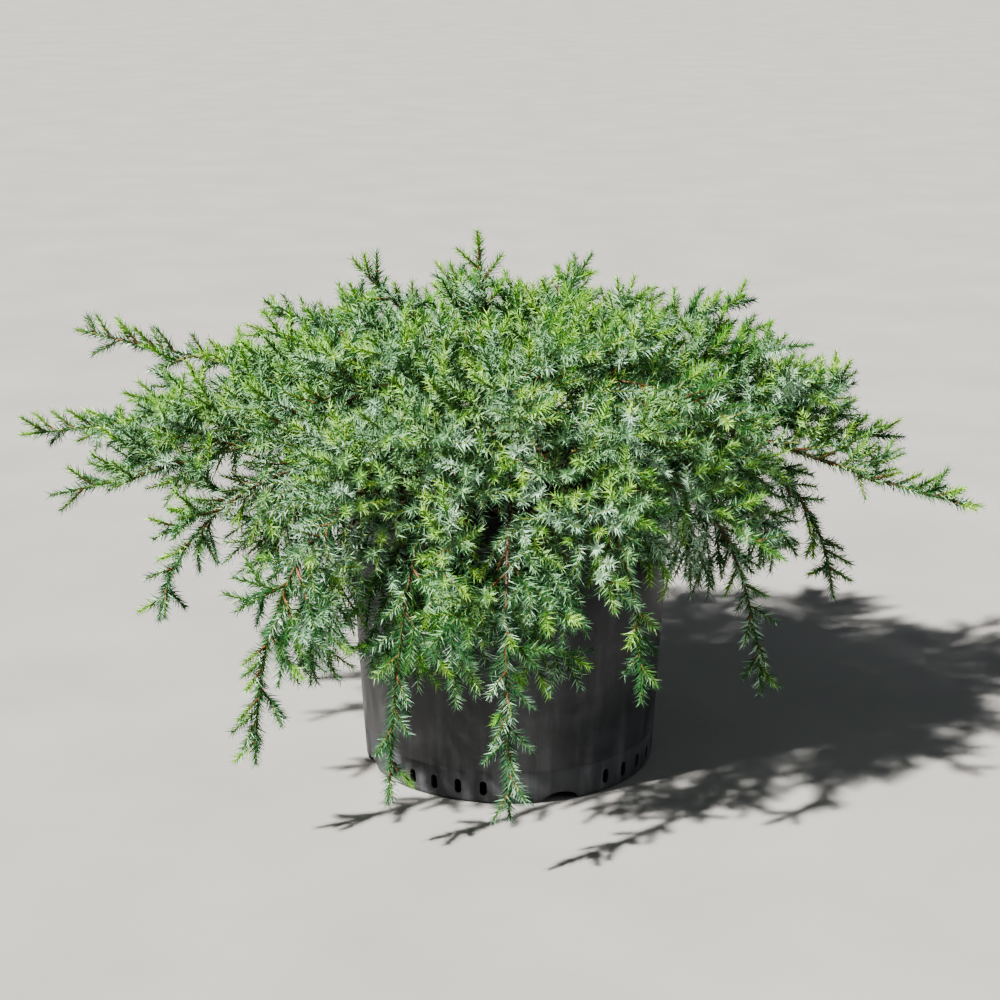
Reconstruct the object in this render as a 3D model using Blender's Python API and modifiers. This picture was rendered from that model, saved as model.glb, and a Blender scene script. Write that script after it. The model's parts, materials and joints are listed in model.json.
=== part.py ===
"""A spreading shore-type juniper in a round black nursery pot, modelled in Blender.

Metres, +Z up. The origin is the centre of the pot's flat underside, the viewer stands at -Y.
Azimuths are in degrees from +X towards +Y, so -90 is the front of the plant.
"""

import math
import random

import bmesh
import bpy
import numpy as np
from mathutils import Matrix

# Pot
POT_HEIGHT = 0.240
FOOT_RADIUS = 0.1175
WALL_TOP_RADIUS = 0.1290
WALL_TOP = 0.208
BAND_RADIUS = 0.1340
BAND_BOTTOM = 0.213
LIP_RADIUS = 0.1375
LIP_HEIGHT = 0.006
LIP_FILLET = 0.0015
FOOT_ROUND = 0.004
FOOT_BEND = 0.3 * FOOT_ROUND
WALL = 0.0022
POT_SIDES = 36

# Drain openings round the foot
NOTCH_AZIMUTHS = (-70, 20, 110, 200)
NOTCH_WIDTH = 0.030
NOTCH_RISE = 0.008
NOTCH_DEPTH = 0.024
SLOT_OFFSETS = (20, 30, 40, 50, 60, 70)
SLOT_WIDTH = 0.0055
SLOT_HEIGHT = 0.012
SLOT_DEPTH = 0.016
SLOT_MIDDLE = 0.013

# Soil
SOIL_EDGE = 0.2165
SOIL_TOP = 0.2200
SOIL_CROWN_RADIUS = 0.045
SOIL_STEP_HEIGHT = 0.023
SOIL_STEP_RADIUS = 0.092
SOIL_STEP_TAPER = 0.004
GAP = 0.0003

# Trunk: (height over the soil, lean in x, lean in y, radius), from the flare to the fork
TRUNK = (
    (0.000, 0.000, 0.000, 0.0230),
    (0.006, 0.000, 0.000, 0.0175),
    (0.016, -0.001, 0.000, 0.0150),
    (0.036, -0.004, 0.001, 0.0135),
    (0.056, -0.007, 0.002, 0.0120),
    (0.074, -0.010, 0.003, 0.0100),
    (0.088, -0.013, 0.004, 0.0070),
)

# Boughs: azimuth, fork height over the soil, reach and height of the tip, rise at the fork,
# drop at the tip and the bare share of the length
BOUGHS = {
    "lower": (
        (-154, 0.026, 0.295, 0.150, 0.038, 0.125, 0.44),
        (-134, 0.016, 0.270, 0.060, 0.050, 0.220, 0.42),
        (-114, 0.026, 0.222, 0.032, 0.045, 0.250, 0.38),
        (-90, 0.016, 0.250, 0.040, 0.050, 0.240, 0.38),
        (-67, 0.026, 0.240, 0.118, 0.045, 0.165, 0.38),
        (-24, 0.016, 0.215, 0.075, 0.050, 0.205, 0.38),
        (2, 0.026, 0.265, 0.123, 0.045, 0.155, 0.44),
        (60, 0.016, 0.262, 0.095, 0.050, 0.185, 0.44),
        (120, 0.016, 0.272, 0.090, 0.050, 0.190, 0.44),
    ),
    "middle": (
        (-174, 0.037, 0.367, 0.227, 0.040, 0.020, 0.32),
        (-160, 0.050, 0.294, 0.208, 0.050, 0.030, 0.30),
        (-127, 0.041, 0.272, 0.222, 0.045, 0.030, 0.28),
        (-101, 0.056, 0.262, 0.205, 0.045, 0.035, 0.28),
        (-73, 0.046, 0.255, 0.196, 0.045, 0.045, 0.28),
        (-41, 0.037, 0.270, 0.215, 0.045, 0.030, 0.28),
        (-2, 0.056, 0.382, 0.211, 0.045, 0.012, 0.70),
        (12, 0.046, 0.338, 0.248, 0.040, 0.005, 0.32),
        (26, 0.037, 0.305, 0.292, 0.030, -0.010, 0.32),
        (70, 0.037, 0.330, 0.240, 0.040, 0.020, 0.30),
        (103, 0.046, 0.350, 0.250, 0.040, 0.010, 0.30),
        (136, 0.037, 0.360, 0.240, 0.040, 0.020, 0.30),
        (163, 0.046, 0.383, 0.331, 0.030, -0.015, 0.62),
        (176, 0.060, 0.401, 0.260, 0.040, 0.010, 0.34),
    ),
    "upper": (
        (153, 0.068, 0.235, 0.345, 0.030, 0.005, 0.26),
        (37, 0.066, 0.268, 0.347, 0.030, 0.000, 0.26),
    ),
    "crown": (
        (-88, 0.074, 0.228, 0.284, 0.050, 0.040, 0.0),
        (-36, 0.074, 0.235, 0.296, 0.045, 0.035, 0.0),
        (64, 0.074, 0.165, 0.372, 0.045, 0.010, 0.0),
        (108, 0.078, 0.190, 0.360, 0.045, 0.010, 0.0),
        (180, 0.077, 0.126, 0.413, 0.050, -0.045, 0.0),
        (-144, 0.068, 0.235, 0.296, 0.045, 0.035, 0.0),
    ),
}
LEADER_TIP = (-0.024, 0.050, 0.424)
BASE_RADIUS = {"lower": 0.0042, "middle": 0.0037, "upper": 0.0034, "crown": 0.0030}
SPLIT_RADIUS = 0.0024
BOUGH_POINTS = 5
BOUGH_SWAY = 0.010
TRUNK_OVERRUN = 0.002

# How far a bough's line pulls straight at its fork and at its tip, as shares of its reach
FORK_PULL = 0.38
TIP_PULL = 0.30
HANGING_TIP_PULL = 0.04
HANGING_DROP = 0.08

# Handles of the top leader's line, from the trunk's tip and from the line's middle
LEADER_FORK_PULL = (0.004, 0.006, 0.04)
LEADER_SWAY = (-0.008, 0.0, 0.01)

# Foliage
RING_STEP = 0.0185
TWIG_RADIUS = 0.0017
TIP_RADIUS = 0.0010
NEEDLE_LENGTH = 0.024
NEEDLE_LEAN = math.radians(46)
END_NEEDLE = 0.011
FIRST_SPRAY = 0.012
SPRAY_STEP = 0.036
SPRAY_LEAN = math.radians(48)
SPRAY_RINGS = (5, 4, 3, 2)
SPRAY_ROLL = math.radians(137.5)
ROLL_TRIES = (0, 30, -30, 60, -60, 100, -100, 150)
SPRAY_CURL = 0.6
LAST_SPRAY = 0.045
CORE_RADIUS = {"lower": 0.013, "middle": 0.018, "upper": 0.020, "crown": 0.021}
CORE_SPIKE = 0.019
CORE_SPIKE_SHARE = 0.6
SPIKE_OUT = 0.8
SPIKE_AHEAD = 0.5
CORE_START = 0.05
CORE_SHARE = 0.60
CORE_UNEVEN = (0.75, 1.2)
CORE_SIDES = 4
CORE_RINGS = 3
CORE_SIZES = (1.0, 0.75, 0.5, 0.3)
CORE_LEAST = 1.5 * SPLIT_RADIUS
BARE_TIPPED = ("middle_7", "middle_13")

# Room for the foliage
DOME_TOP = 0.430
DOME_FALL = 1.15
OUT_OF_TIP = 0.004
LEAST_REACH = 0.12
UNDER_RIM = 0.02
LINE_STEP = 0.006
LIMB_STEP = 3
CELL_MARGIN = 0.0045
LIMB_CLEAR = 0.0065
TRUNK_CLEAR = 0.0200
RIM_CLEAR = 0.0050
FLOOR_CLEAR = 0.0080
SEED = 11

COLOURS = {
    "pot": ((0.016, 0.016, 0.019), 0.55),
    "soil": ((0.070, 0.046, 0.032), 0.95),
    "bark": ((0.150, 0.080, 0.050), 0.85),
    "foliage": ((0.090, 0.170, 0.085), 0.65),
}


def material(kind):
    """The named material, made on first use."""
    found = bpy.data.materials.get(kind)
    if found:
        return found
    colour, roughness = COLOURS[kind]
    made = bpy.data.materials.new(kind)
    made.use_nodes = True
    shader = made.node_tree.nodes["Principled BSDF"]
    shader.inputs["Base Color"].default_value = (*colour, 1.0)
    shader.inputs["Roughness"].default_value = roughness
    shader.inputs["Metallic"].default_value = 0.0
    return made


def own_material(kind, name):
    """A copy of the kind's material for one object."""
    copy = material(kind).copy()
    copy.name = f"{kind}_{name}"
    return copy


def clear_scene():
    for obj in list(bpy.data.objects):
        bpy.data.objects.remove(obj, do_unlink=True)


def new_collection(name, parent=None):
    made = bpy.data.collections.new(name)
    (parent or bpy.context.scene.collection).children.link(made)
    return made


def add_object(name, mesh, collection):
    obj = bpy.data.objects.new(name, mesh)
    collection.objects.link(obj)
    return obj


def evaluated_mesh(obj):
    """A plain mesh of the object as its modifiers leave it."""
    bpy.context.view_layer.update()
    graph = bpy.context.evaluated_depsgraph_get()
    return bpy.data.meshes.new_from_object(obj.evaluated_get(graph))


def boolean(obj, name, operation, collection):
    modifier = obj.modifiers.new(name, "BOOLEAN")
    modifier.operation = operation
    modifier.operand_type = "COLLECTION"
    modifier.collection = collection
    modifier.solver = "EXACT"
    return modifier


def shade_round(mesh, degrees):
    mesh.shade_smooth()
    mesh.set_sharp_from_angle(angle=math.radians(degrees))


# Turned pieces


def turned(name, profile, kind, collection):
    """A (radius, height) profile turned once round the Z axis."""
    mesh = bpy.data.meshes.new(name)
    edges = [(i, i + 1) for i in range(len(profile) - 1)]
    mesh.from_pydata([(r, 0.0, z) for r, z in profile], edges, [])
    obj = add_object(name, mesh, collection)
    screw = obj.modifiers.new("turn", "SCREW")
    screw.axis = "Z"
    screw.angle = 2 * math.pi
    screw.steps = screw.render_steps = POT_SIDES
    screw.use_merge_vertices = True
    screw.merge_threshold = 0.00001
    screw.use_smooth_shade = False
    obj.data.materials.append(own_material(kind, name))
    return obj


def outer_radius(z):
    """Radius of the outside of the pot's tapered wall."""
    return FOOT_RADIUS + (WALL_TOP_RADIUS - FOOT_RADIUS) * z / WALL_TOP


def pot_profile():
    """From the middle of the floor up the inside, over the lip and down the outside."""
    lip_bottom = POT_HEIGHT - LIP_HEIGHT
    return [
        (0.0, WALL),
        (outer_radius(WALL) - WALL - FOOT_ROUND, WALL),
        (outer_radius(2 * FOOT_ROUND) - WALL, WALL + FOOT_ROUND),
        (WALL_TOP_RADIUS - WALL, WALL_TOP + WALL / 2),
        (BAND_RADIUS - WALL, BAND_BOTTOM + WALL / 2),
        (BAND_RADIUS - WALL, POT_HEIGHT),
        (LIP_RADIUS, POT_HEIGHT),
        (LIP_RADIUS, lip_bottom),
        (BAND_RADIUS, lip_bottom - LIP_FILLET),
        (BAND_RADIUS, BAND_BOTTOM),
        (WALL_TOP_RADIUS, WALL_TOP),
        (outer_radius(FOOT_ROUND), FOOT_ROUND),
        (FOOT_RADIUS - FOOT_BEND, FOOT_BEND),
        (FOOT_RADIUS - FOOT_ROUND, 0.0),
        (0.0, 0.0),
    ]


def soil_profile():
    """From the top of the soil over its edge and down the inside of the pot."""
    inside_top = BAND_RADIUS - WALL - 2 * GAP
    inside_wall = WALL_TOP_RADIUS - WALL - 2 * GAP
    inside_step = outer_radius(SOIL_STEP_HEIGHT) - WALL - 2 * GAP
    return [
        (0.0, SOIL_TOP),
        (SOIL_CROWN_RADIUS, SOIL_TOP),
        (inside_top, SOIL_EDGE),
        (inside_top, BAND_BOTTOM + WALL / 2 + GAP),
        (inside_wall, WALL_TOP + WALL / 2 + GAP),
        (inside_step, SOIL_STEP_HEIGHT),
        (SOIL_STEP_RADIUS, SOIL_STEP_HEIGHT),
        (SOIL_STEP_RADIUS - SOIL_STEP_TAPER, WALL + GAP),
        (0.0, WALL + GAP),
    ]


def as_cutter(obj, azimuth, radius, height):
    """Places a cutter on the wall, with its own X axis pointing outwards."""
    turn = math.radians(azimuth)
    obj.location = (radius * math.cos(turn), radius * math.sin(turn), height)
    obj.rotation_euler = (0.0, 0.0, turn)
    obj.hide_render = True
    obj.display_type = "WIRE"


def slot_cutter(name, azimuth, cutters):
    mesh = bpy.data.meshes.new(name)
    shape = bmesh.new()
    bmesh.ops.create_cube(shape, size=1.0)
    bmesh.ops.scale(shape, vec=(SLOT_DEPTH, SLOT_WIDTH, SLOT_HEIGHT), verts=shape.verts)
    shape.to_mesh(mesh)
    shape.free()
    as_cutter(add_object(name, mesh, cutters), azimuth, outer_radius(SLOT_MIDDLE), SLOT_MIDDLE)


def notch_cutter(name, azimuth, cutters):
    """A flat half-round arch in the pot's lower edge, open below."""
    mesh = bpy.data.meshes.new(name)
    shape = bmesh.new()
    bmesh.ops.create_cone(
        shape, cap_ends=True, segments=12, radius1=0.5, radius2=0.5, depth=2 * NOTCH_DEPTH
    )
    bmesh.ops.rotate(shape, verts=shape.verts, matrix=Matrix.Rotation(math.pi / 2, 3, "Y"))
    bmesh.ops.scale(shape, vec=(1.0, NOTCH_WIDTH, 2 * NOTCH_RISE), verts=shape.verts)
    shape.to_mesh(mesh)
    shape.free()
    as_cutter(add_object(name, mesh, cutters), azimuth, FOOT_RADIUS, 0.0)


def make_pot(plant, cutters):
    pot = turned("pot", pot_profile(), "pot", plant)
    for n, notch in enumerate(NOTCH_AZIMUTHS):
        notch_cutter(f"notch_{n}", notch, cutters)
        for m, offset in enumerate(SLOT_OFFSETS):
            slot_cutter(f"slot_{n}_{m}", notch + offset, cutters)
    boolean(pot, "drain openings", "DIFFERENCE", cutters)
    return pot


# Paths


def trunk_axis(height):
    """Point of the trunk's middle line at a height over the soil."""
    rows = np.array(TRUNK)
    x, y = (np.interp(height, rows[:, 0], rows[:, k]) for k in (1, 2))
    return np.array([x, y, SOIL_TOP + GAP + height])


def sampled_curve(controls, count=160):
    """A cubic Bezier curve as points at equal steps of its length."""
    t = np.linspace(0.0, 1.0, count)[:, None]
    a, b, c, d = controls
    raw = (1 - t) ** 3 * a + 3 * (1 - t) ** 2 * t * b + 3 * (1 - t) * t**2 * c + t**3 * d
    return even_points(raw, count)


def even_points(points, count):
    """Points at equal distances along a polyline."""
    run = np.concatenate([[0.0], np.cumsum(np.linalg.norm(np.diff(points, axis=0), axis=1))])
    wanted = np.linspace(0.0, run[-1], count)
    return np.column_stack([np.interp(wanted, run, points[:, k]) for k in range(3)])


def length_of(points):
    return float(np.linalg.norm(np.diff(points, axis=0), axis=1).sum())


def bough_curve(number, row):
    """The whole line of a bough, from the trunk's middle to its furthest tip."""
    azimuth, fork_height, reach, height, rise, drop, _ = row
    turn = math.radians(azimuth)
    out = np.array([math.cos(turn), math.sin(turn), 0.0])
    side = np.array([-out[1], out[0], 0.0])
    up = np.array([0.0, 0.0, 1.0])
    fork = trunk_axis(fork_height)
    tip = out * reach + up * height
    sway = side * BOUGH_SWAY * (1 if number % 2 else -1)
    tip_pull = TIP_PULL if drop < HANGING_DROP else HANGING_TIP_PULL
    first = fork + out * reach * FORK_PULL + up * rise + sway
    second = tip - out * reach * tip_pull + up * drop - sway
    return sampled_curve((fork, first, second, tip))


def shortened(curve, cut):
    """The curve without its last stretch."""
    keep = 1.0 - cut / length_of(curve)
    return even_points(curve[: max(3, round(keep * len(curve)))], len(curve))


def split_curve(curve, share):
    """The bare limb and the line of its foliage, a small gap apart. A share of 0 leaves no limb."""
    if not share:
        return None, shortened(curve, END_NEEDLE)
    at = max(1, round(share * (len(curve) - 1)))
    limb, rest = curve[: at + 1], shortened(curve[at:], END_NEEDLE)
    along = rest[1] - rest[0]
    rest[0] = rest[0] + along / np.linalg.norm(along) * 2 * GAP
    return limb, rest


# Trunk and boughs


def tube(name, points, radii, resolution, collection):
    """A tapering round bar along a polyline, as a closed mesh."""
    curve = bpy.data.curves.new(name, "CURVE")
    curve.dimensions = "3D"
    curve.bevel_depth = 1.0
    curve.bevel_resolution = resolution
    curve.use_fill_caps = True
    spline = curve.splines.new("POLY")
    spline.points.add(len(points) - 1)
    for knot, point, radius in zip(spline.points, points, radii):
        knot.co = (*point, 1.0)
        knot.radius = radius
    guide = add_object(name + "_line", curve, collection)
    mesh = evaluated_mesh(guide)
    mesh.name = name
    matrix = guide.matrix_world.copy()
    bpy.data.objects.remove(guide, do_unlink=True)
    shape = bmesh.new()
    shape.from_mesh(mesh)
    bmesh.ops.remove_doubles(shape, verts=shape.verts, dist=0.000001)
    bmesh.ops.recalc_face_normals(shape, faces=shape.faces)
    shape.to_mesh(mesh)
    shape.free()
    shade_round(mesh, 60)
    obj = add_object(name, mesh, collection)
    obj.matrix_world = matrix
    return obj


def make_trunk(plant, cutters):
    """The trunk, and a slightly larger copy that cuts the boughs clear of it."""
    points = [trunk_axis(row[0]) for row in TRUNK]
    radii = [row[3] for row in TRUNK]
    trunk = tube("trunk", points, radii, 2, plant)
    trunk.data.materials.append(own_material("bark", "trunk"))
    longer = [points[0] - (0, 0, TRUNK_OVERRUN)] + points[1:-1] + [points[-1] + (0, 0, GAP)]
    cutter = tube("trunk_clearance", longer, [r + GAP for r in radii], 2, cutters)
    cutter.hide_render = True
    cutter.display_type = "WIRE"
    return trunk


def make_bough(name, limb, base_radius, plant, trunk_cutter):
    points = even_points(limb, BOUGH_POINTS)
    radii = np.linspace(base_radius, SPLIT_RADIUS, BOUGH_POINTS)
    bough = tube(name, points, radii, 1, plant)
    bough.data.materials.append(own_material("bark", name))
    boolean(bough, "cut at the trunk", "DIFFERENCE", trunk_cutter)
    return bough


# Foliage


def frames_along(points):
    """Tangent, side and up vectors carried along a polyline without twist."""
    tangents = np.gradient(points, axis=0)
    tangents /= np.linalg.norm(tangents, axis=1)[:, None]
    side = np.cross(tangents[0], (0.0, 0.0, 1.0))
    if np.linalg.norm(side) < 0.1:
        side = np.cross(tangents[0], (0.0, 1.0, 0.0))
    frames = []
    for tangent in tangents:
        side = side - tangent * side.dot(tangent)
        side /= np.linalg.norm(side)
        frames.append((tangent, side, np.cross(side, tangent)))
    return frames


def shoot_plan(points, radii, bare_rings, phase):
    """Rings of three corners, each turned by 60 degrees, and the needle between each two rings."""
    frames = frames_along(points)
    rings = []
    for k, (point, radius, (_, side, up)) in enumerate(zip(points, radii, frames)):
        angles = [phase + math.pi / 3 * (k + 2 * j) for j in range(3)]
        rings.append([point + radius * (side * math.cos(a) + up * math.sin(a)) for a in angles])
    needles = {}
    for k in range(bare_rings, len(points) - 1):
        tangent = frames[k][0]
        for j in range(3):
            foot = (rings[k][j] + rings[k][(j + 1) % 3] + rings[k + 1][j]) / 3
            out = foot - (points[k] + points[k + 1]) / 2
            out -= tangent * out.dot(tangent)
            out /= np.linalg.norm(out)
            lean = out * math.sin(NEEDLE_LEAN) + tangent * math.cos(NEEDLE_LEAN)
            needles[k, j] = (foot, foot + lean * NEEDLE_LENGTH)
    return {"rings": rings, "needles": needles, "line": points, "end": frames[-1][0]}


def build_shoot(name, plan, collection):
    """A three-sided core with a needle drawn out of each face that has one in the plan."""
    mesh = bpy.data.meshes.new(name)
    shape = bmesh.new()
    rings = [[shape.verts.new(corner) for corner in ring] for ring in plan["rings"]]
    for k in range(len(rings) - 1):
        low, high = rings[k], rings[k + 1]
        for j in range(3):
            i = (j + 1) % 3
            shape.faces.new((high[j], low[i], high[i]))
            face = (low[j], low[i], high[j])
            if (k, j) in plan["needles"]:
                fan(shape, face, plan["needles"][k, j][1])
            else:
                shape.faces.new(face)
    shape.faces.new(rings[0][::-1])
    fan(shape, rings[-1], plan["line"][-1] + plan["end"] * END_NEEDLE)
    bmesh.ops.recalc_face_normals(shape, faces=shape.faces)
    shape.to_mesh(mesh)
    shape.free()
    return add_object(name, mesh, collection)


def fan(shape, corners, tip):
    """Three faces from a triangle's sides to a point."""
    apex = shape.verts.new(tip)
    for j in range(3):
        shape.faces.new((corners[j], corners[(j + 1) % 3], apex))


class Space:
    """The room that each mass of foliage keeps to: nearer to its own line than to any other."""

    def __init__(self, lines, limbs):
        self.lines = [even_points(line, max(3, int(length_of(line) / LINE_STEP))) for line in lines]
        self.limbs = limbs

    @staticmethod
    def nearest(points, cloud):
        return np.linalg.norm(points[:, None] - cloud[None], axis=2).min(axis=1)

    def under_dome(self, points, owner):
        """Which of the points lie under the crown's dome, and neither further out nor lower than the tip."""
        tip = self.lines[owner][-1]
        reach = max(math.hypot(tip[0], tip[1]), LEAST_REACH) + END_NEEDLE + OUT_OF_TIP
        away = np.hypot(points[:, 0], points[:, 1])
        top = np.maximum(DOME_TOP - DOME_FALL * away**2, min(tip[2], POT_HEIGHT) + OUT_OF_TIP)
        low = min(tip[2] - END_NEEDLE - OUT_OF_TIP, POT_HEIGHT - UNDER_RIM)
        return (points[:, 2] < top) & (away < reach) & (points[:, 2] > low)

    def inside(self, points, owner):
        """Which of the points lie in the owner's room and clear of limbs, pot and ground."""
        points = np.atleast_2d(points)
        own = self.nearest(points, self.lines[owner])
        fits = points[:, 2] > FLOOR_CLEAR
        over_pot = np.hypot(points[:, 0], points[:, 1]) < LIP_RADIUS + RIM_CLEAR
        fits &= ~(over_pot & (points[:, 2] < POT_HEIGHT + RIM_CLEAR))
        for other, line in enumerate(self.lines):
            if other != owner:
                fits &= own + CELL_MARGIN < self.nearest(points, line)
        for cloud, clear in self.limbs:
            fits &= self.nearest(points, cloud) > clear
        return fits


def fit_needles(plan, space, owner, dome):
    """Leaves out each needle that would reach out of its room."""
    keys = list(plan["needles"])
    for share in (0.5, 1.0):
        ends = [foot + (tip - foot) * share for foot, tip in map(plan["needles"].get, keys)]
        if keys:
            fits = space.inside(ends, owner)
            if dome:
                fits &= space.under_dome(np.array(ends), owner)
            keys = [key for key, ok in zip(keys, fits) if ok]
    plan["needles"] = {key: plan["needles"][key] for key in keys}
    return plan


def leader_plan(line, bare_rings, phase):
    count = max(4, round(length_of(line) / RING_STEP) + 1)
    points = even_points(line, count)
    radii = np.linspace(SPLIT_RADIUS, TIP_RADIUS, count)
    return shoot_plan(points, radii, bare_rings, phase)


def spray_line(start, tangent, out, rings):
    """A side shoot's line, leaning off its leader and curling up a little."""
    heading = tangent * math.cos(SPRAY_LEAN) + out * math.sin(SPRAY_LEAN)
    run = np.arange(rings + 1)[:, None] * RING_STEP
    return start + heading * run + np.array([[0.0, 0.0, 1.0]]) * SPRAY_CURL * run**2


def spray_plans(line, core_end, space, owner, chance):
    """Side shoots at even steps along a leader, each bare where the core hides it."""
    frames = frames_along(line)
    total = length_of(line)
    step = total / (len(line) - 1)
    roll = chance.uniform(0, 2 * math.pi)
    plans = []
    for station in np.arange(FIRST_SPRAY, total - LAST_SPRAY, SPRAY_STEP):
        at = int(station / step)
        bare = 2 if station < core_end else 1
        plan = fitted_spray(line[at], frames[at], roll, bare, space, owner, chance)
        if plan:
            plans.append(plan)
        roll += SPRAY_ROLL
    return plans


def fitted_spray(start, frame, roll, bare, space, owner, chance):
    """The longest side shoot that fits at this station, or None."""
    tangent, side, up = frame
    for rings in SPRAY_RINGS:
        for turn in ROLL_TRIES:
            angle = roll + math.radians(turn)
            out = side * math.cos(angle) + up * math.sin(angle)
            points = spray_line(start, tangent, out, rings)
            fits = space.inside(points[1:], owner) & space.under_dome(points[1:], owner)
            if fits.all():
                radii = np.linspace(TWIG_RADIUS, TIP_RADIUS, rings + 1)
                plan = shoot_plan(points, radii, bare, chance.uniform(0, 2))
                return fit_needles(plan, space, owner, True)
    return None


def limb_room(points, space):
    """How far a round body about a stretch of line may swell before it meets a limb."""
    nearest = min(space.nearest(points, cloud).min() for cloud, _ in space.limbs)
    return max(nearest - LIMB_CLEAR, CORE_LEAST)


def core_corner(middle, heading, size, space, owner):
    """The furthest point of the core along a heading that stays in the mass's room."""
    for share in CORE_SIZES:
        point = middle + heading * size * share
        ahead = np.array([point, middle + heading * (size * share + CELL_MARGIN)])
        if (space.inside(ahead, owner) & space.under_dome(ahead, owner)).all():
            return point
    return middle + heading * CORE_LEAST


def core_faces(rings):
    """The spindle's triangles: a band between each two rings and a fan at each end."""
    faces = []
    for k in range(1, CORE_RINGS):
        low, high = rings[k], rings[k + 1]
        for j in range(CORE_SIDES):
            i = (j + 1) % CORE_SIDES
            if k % 2:
                faces += [(low[j], low[i], high[i]), (low[j], high[i], high[j])]
            else:
                faces += [(low[j], low[i], high[j]), (low[i], high[i], high[j])]
    for end, ring in ((rings[0][0], rings[1]), (rings[-1][0], rings[-2])):
        faces += [(ring[j], ring[(j + 1) % CORE_SIDES], end) for j in range(CORE_SIDES)]
    return faces


def draw_spikes(shape, heading, space, owner, chance):
    """Draws some faces of the core out into short shoots where the mass's room allows."""
    for face in list(shape.faces):
        middle = np.array(face.calc_center_median())
        tip = middle + (np.array(face.normal) * SPIKE_OUT + heading * SPIKE_AHEAD) * CORE_SPIKE
        ends = np.array([(middle + tip) / 2, tip])
        fits = space.inside(ends, owner) & space.under_dome(ends, owner)
        if chance.random() < CORE_SPIKE_SHARE and fits.all():
            corners = list(face.verts)
            bmesh.ops.delete(shape, geom=[face], context="FACES_ONLY")
            fan(shape, corners, tip)


def build_core(name, line, radius, space, owner, chance, collection):
    """The close inner growth of a mass as one uneven spindle round its leader."""
    ends = [round(share * (len(line) - 1)) for share in (CORE_START, CORE_SHARE)]
    points = even_points(line[ends[0] : ends[1]], CORE_RINGS + 2)
    mesh = bpy.data.meshes.new(name)
    shape = bmesh.new()
    rings = []
    for k, (point, (_, side, up)) in enumerate(zip(points, frames_along(points))):
        if k in (0, CORE_RINGS + 1):
            rings.append([shape.verts.new(point)])
            continue
        room = limb_room(even_points(points[k - 1 : k + 2], 9), space)
        ring = []
        for j in range(CORE_SIDES):
            angle = 2 * math.pi * (j + 0.5 * (k % 2)) / CORE_SIDES
            heading = side * math.cos(angle) + up * math.sin(angle)
            size = min(radius * chance.uniform(*CORE_UNEVEN), room)
            ring.append(shape.verts.new(core_corner(point, heading, size, space, owner)))
        rings.append(ring)
    for face in core_faces(rings):
        shape.faces.new(face)
    bmesh.ops.recalc_face_normals(shape, faces=shape.faces)
    heading = (points[-1] - points[0]) / np.linalg.norm(points[-1] - points[0])
    draw_spikes(shape, heading, space, owner, chance)
    shape.to_mesh(mesh)
    shape.free()
    return add_object(name, mesh, collection)


def make_foliage(name, tier, label, line, space, owner, plant):
    """One mass: a leader with a close inner core and side shoots fused on."""
    chance = random.Random(SEED + 17 * owner)
    cored = label not in BARE_TIPPED
    core_end = CORE_SHARE * length_of(line) if cored else 0.0
    bare = max(1, round(core_end / RING_STEP))
    plan = leader_plan(line, bare, chance.uniform(0, 2))
    leader = build_shoot(name + "_leader", fit_needles(plan, space, owner, False), plant)
    sprays = new_collection(name + "_sprays")
    for n, side_plan in enumerate(spray_plans(line, core_end, space, owner, chance)):
        build_shoot(f"{name}_spray_{n}", side_plan, sprays)
    if cored:
        build_core(name + "_core", line, CORE_RADIUS[tier], space, owner, chance, sprays)
    boolean(leader, "sprays", "UNION", sprays)
    mesh = evaluated_mesh(leader)
    mesh.name = name
    for obj in [leader, *sprays.objects]:
        bpy.data.objects.remove(obj, do_unlink=True)
    bpy.data.collections.remove(sprays)
    foliage = add_object(name, mesh, plant)
    foliage.data.materials.clear()
    foliage.data.materials.append(own_material("foliage", name))
    return foliage


# The whole plant


def plant_lines():
    """(tier, label, bare limb or None, foliage line) for every shoot of the plant."""
    lines = []
    for tier, rows in BOUGHS.items():
        for number, row in enumerate(rows):
            curve = bough_curve(number, row)
            limb, rest = split_curve(curve, row[-1])
            lines.append((tier, f"{tier}_{number + 1}", limb, rest))
    top = trunk_axis(TRUNK[-1][0]) + (0, 0, 1.4 * GAP)
    tip = np.array(LEADER_TIP)
    middle = (top + tip) / 2
    controls = (top, top + LEADER_FORK_PULL, middle + LEADER_SWAY, tip)
    lines.append(("crown", "crown_top", None, shortened(sampled_curve(controls), END_NEEDLE)))
    return lines


def main():
    clear_scene()
    plant = new_collection("potted juniper")
    cutters = new_collection("pot cutters")
    trunk_cutter = new_collection("trunk cutter")
    make_pot(plant, cutters)
    turned("soil", soil_profile(), "soil", plant)
    make_trunk(plant, trunk_cutter)
    lines = plant_lines()
    trunk_line = np.array([trunk_axis(h) for h in np.arange(0.0, TRUNK[-1][0], LINE_STEP / 2)])
    limbs = [(trunk_line, TRUNK_CLEAR)]
    for tier, label, limb, _ in lines:
        if limb is not None:
            make_bough(f"bough_{label}", limb, BASE_RADIUS[tier], plant, trunk_cutter)
            limbs.append((limb[:-LIMB_STEP:LIMB_STEP], LIMB_CLEAR))
    space = Space([rest for *_, rest in lines], limbs)
    for owner, (tier, label, limb, rest) in enumerate(lines):
        foliage = make_foliage(f"foliage_{label}", tier, label, rest, space, owner, plant)
        if limb is None and label != "crown_top":
            boolean(foliage, "cut at the trunk", "DIFFERENCE", trunk_cutter)


main()
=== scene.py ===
"""The looks of a spreading shore-type juniper in a round nursery pot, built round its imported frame.

The limbs repeat the frame's own rule of growth, and finer shoots, twigs and needles grow on from them
inside the same reach. Metres, +Z up, azimuths in degrees from +X towards +Y, the viewer stands at -Y.
"""

import json
import math
import random
from dataclasses import dataclass
from typing import NamedTuple

import bmesh
import bpy
import numpy as np
from mathutils import Matrix, Vector, noise

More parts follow.
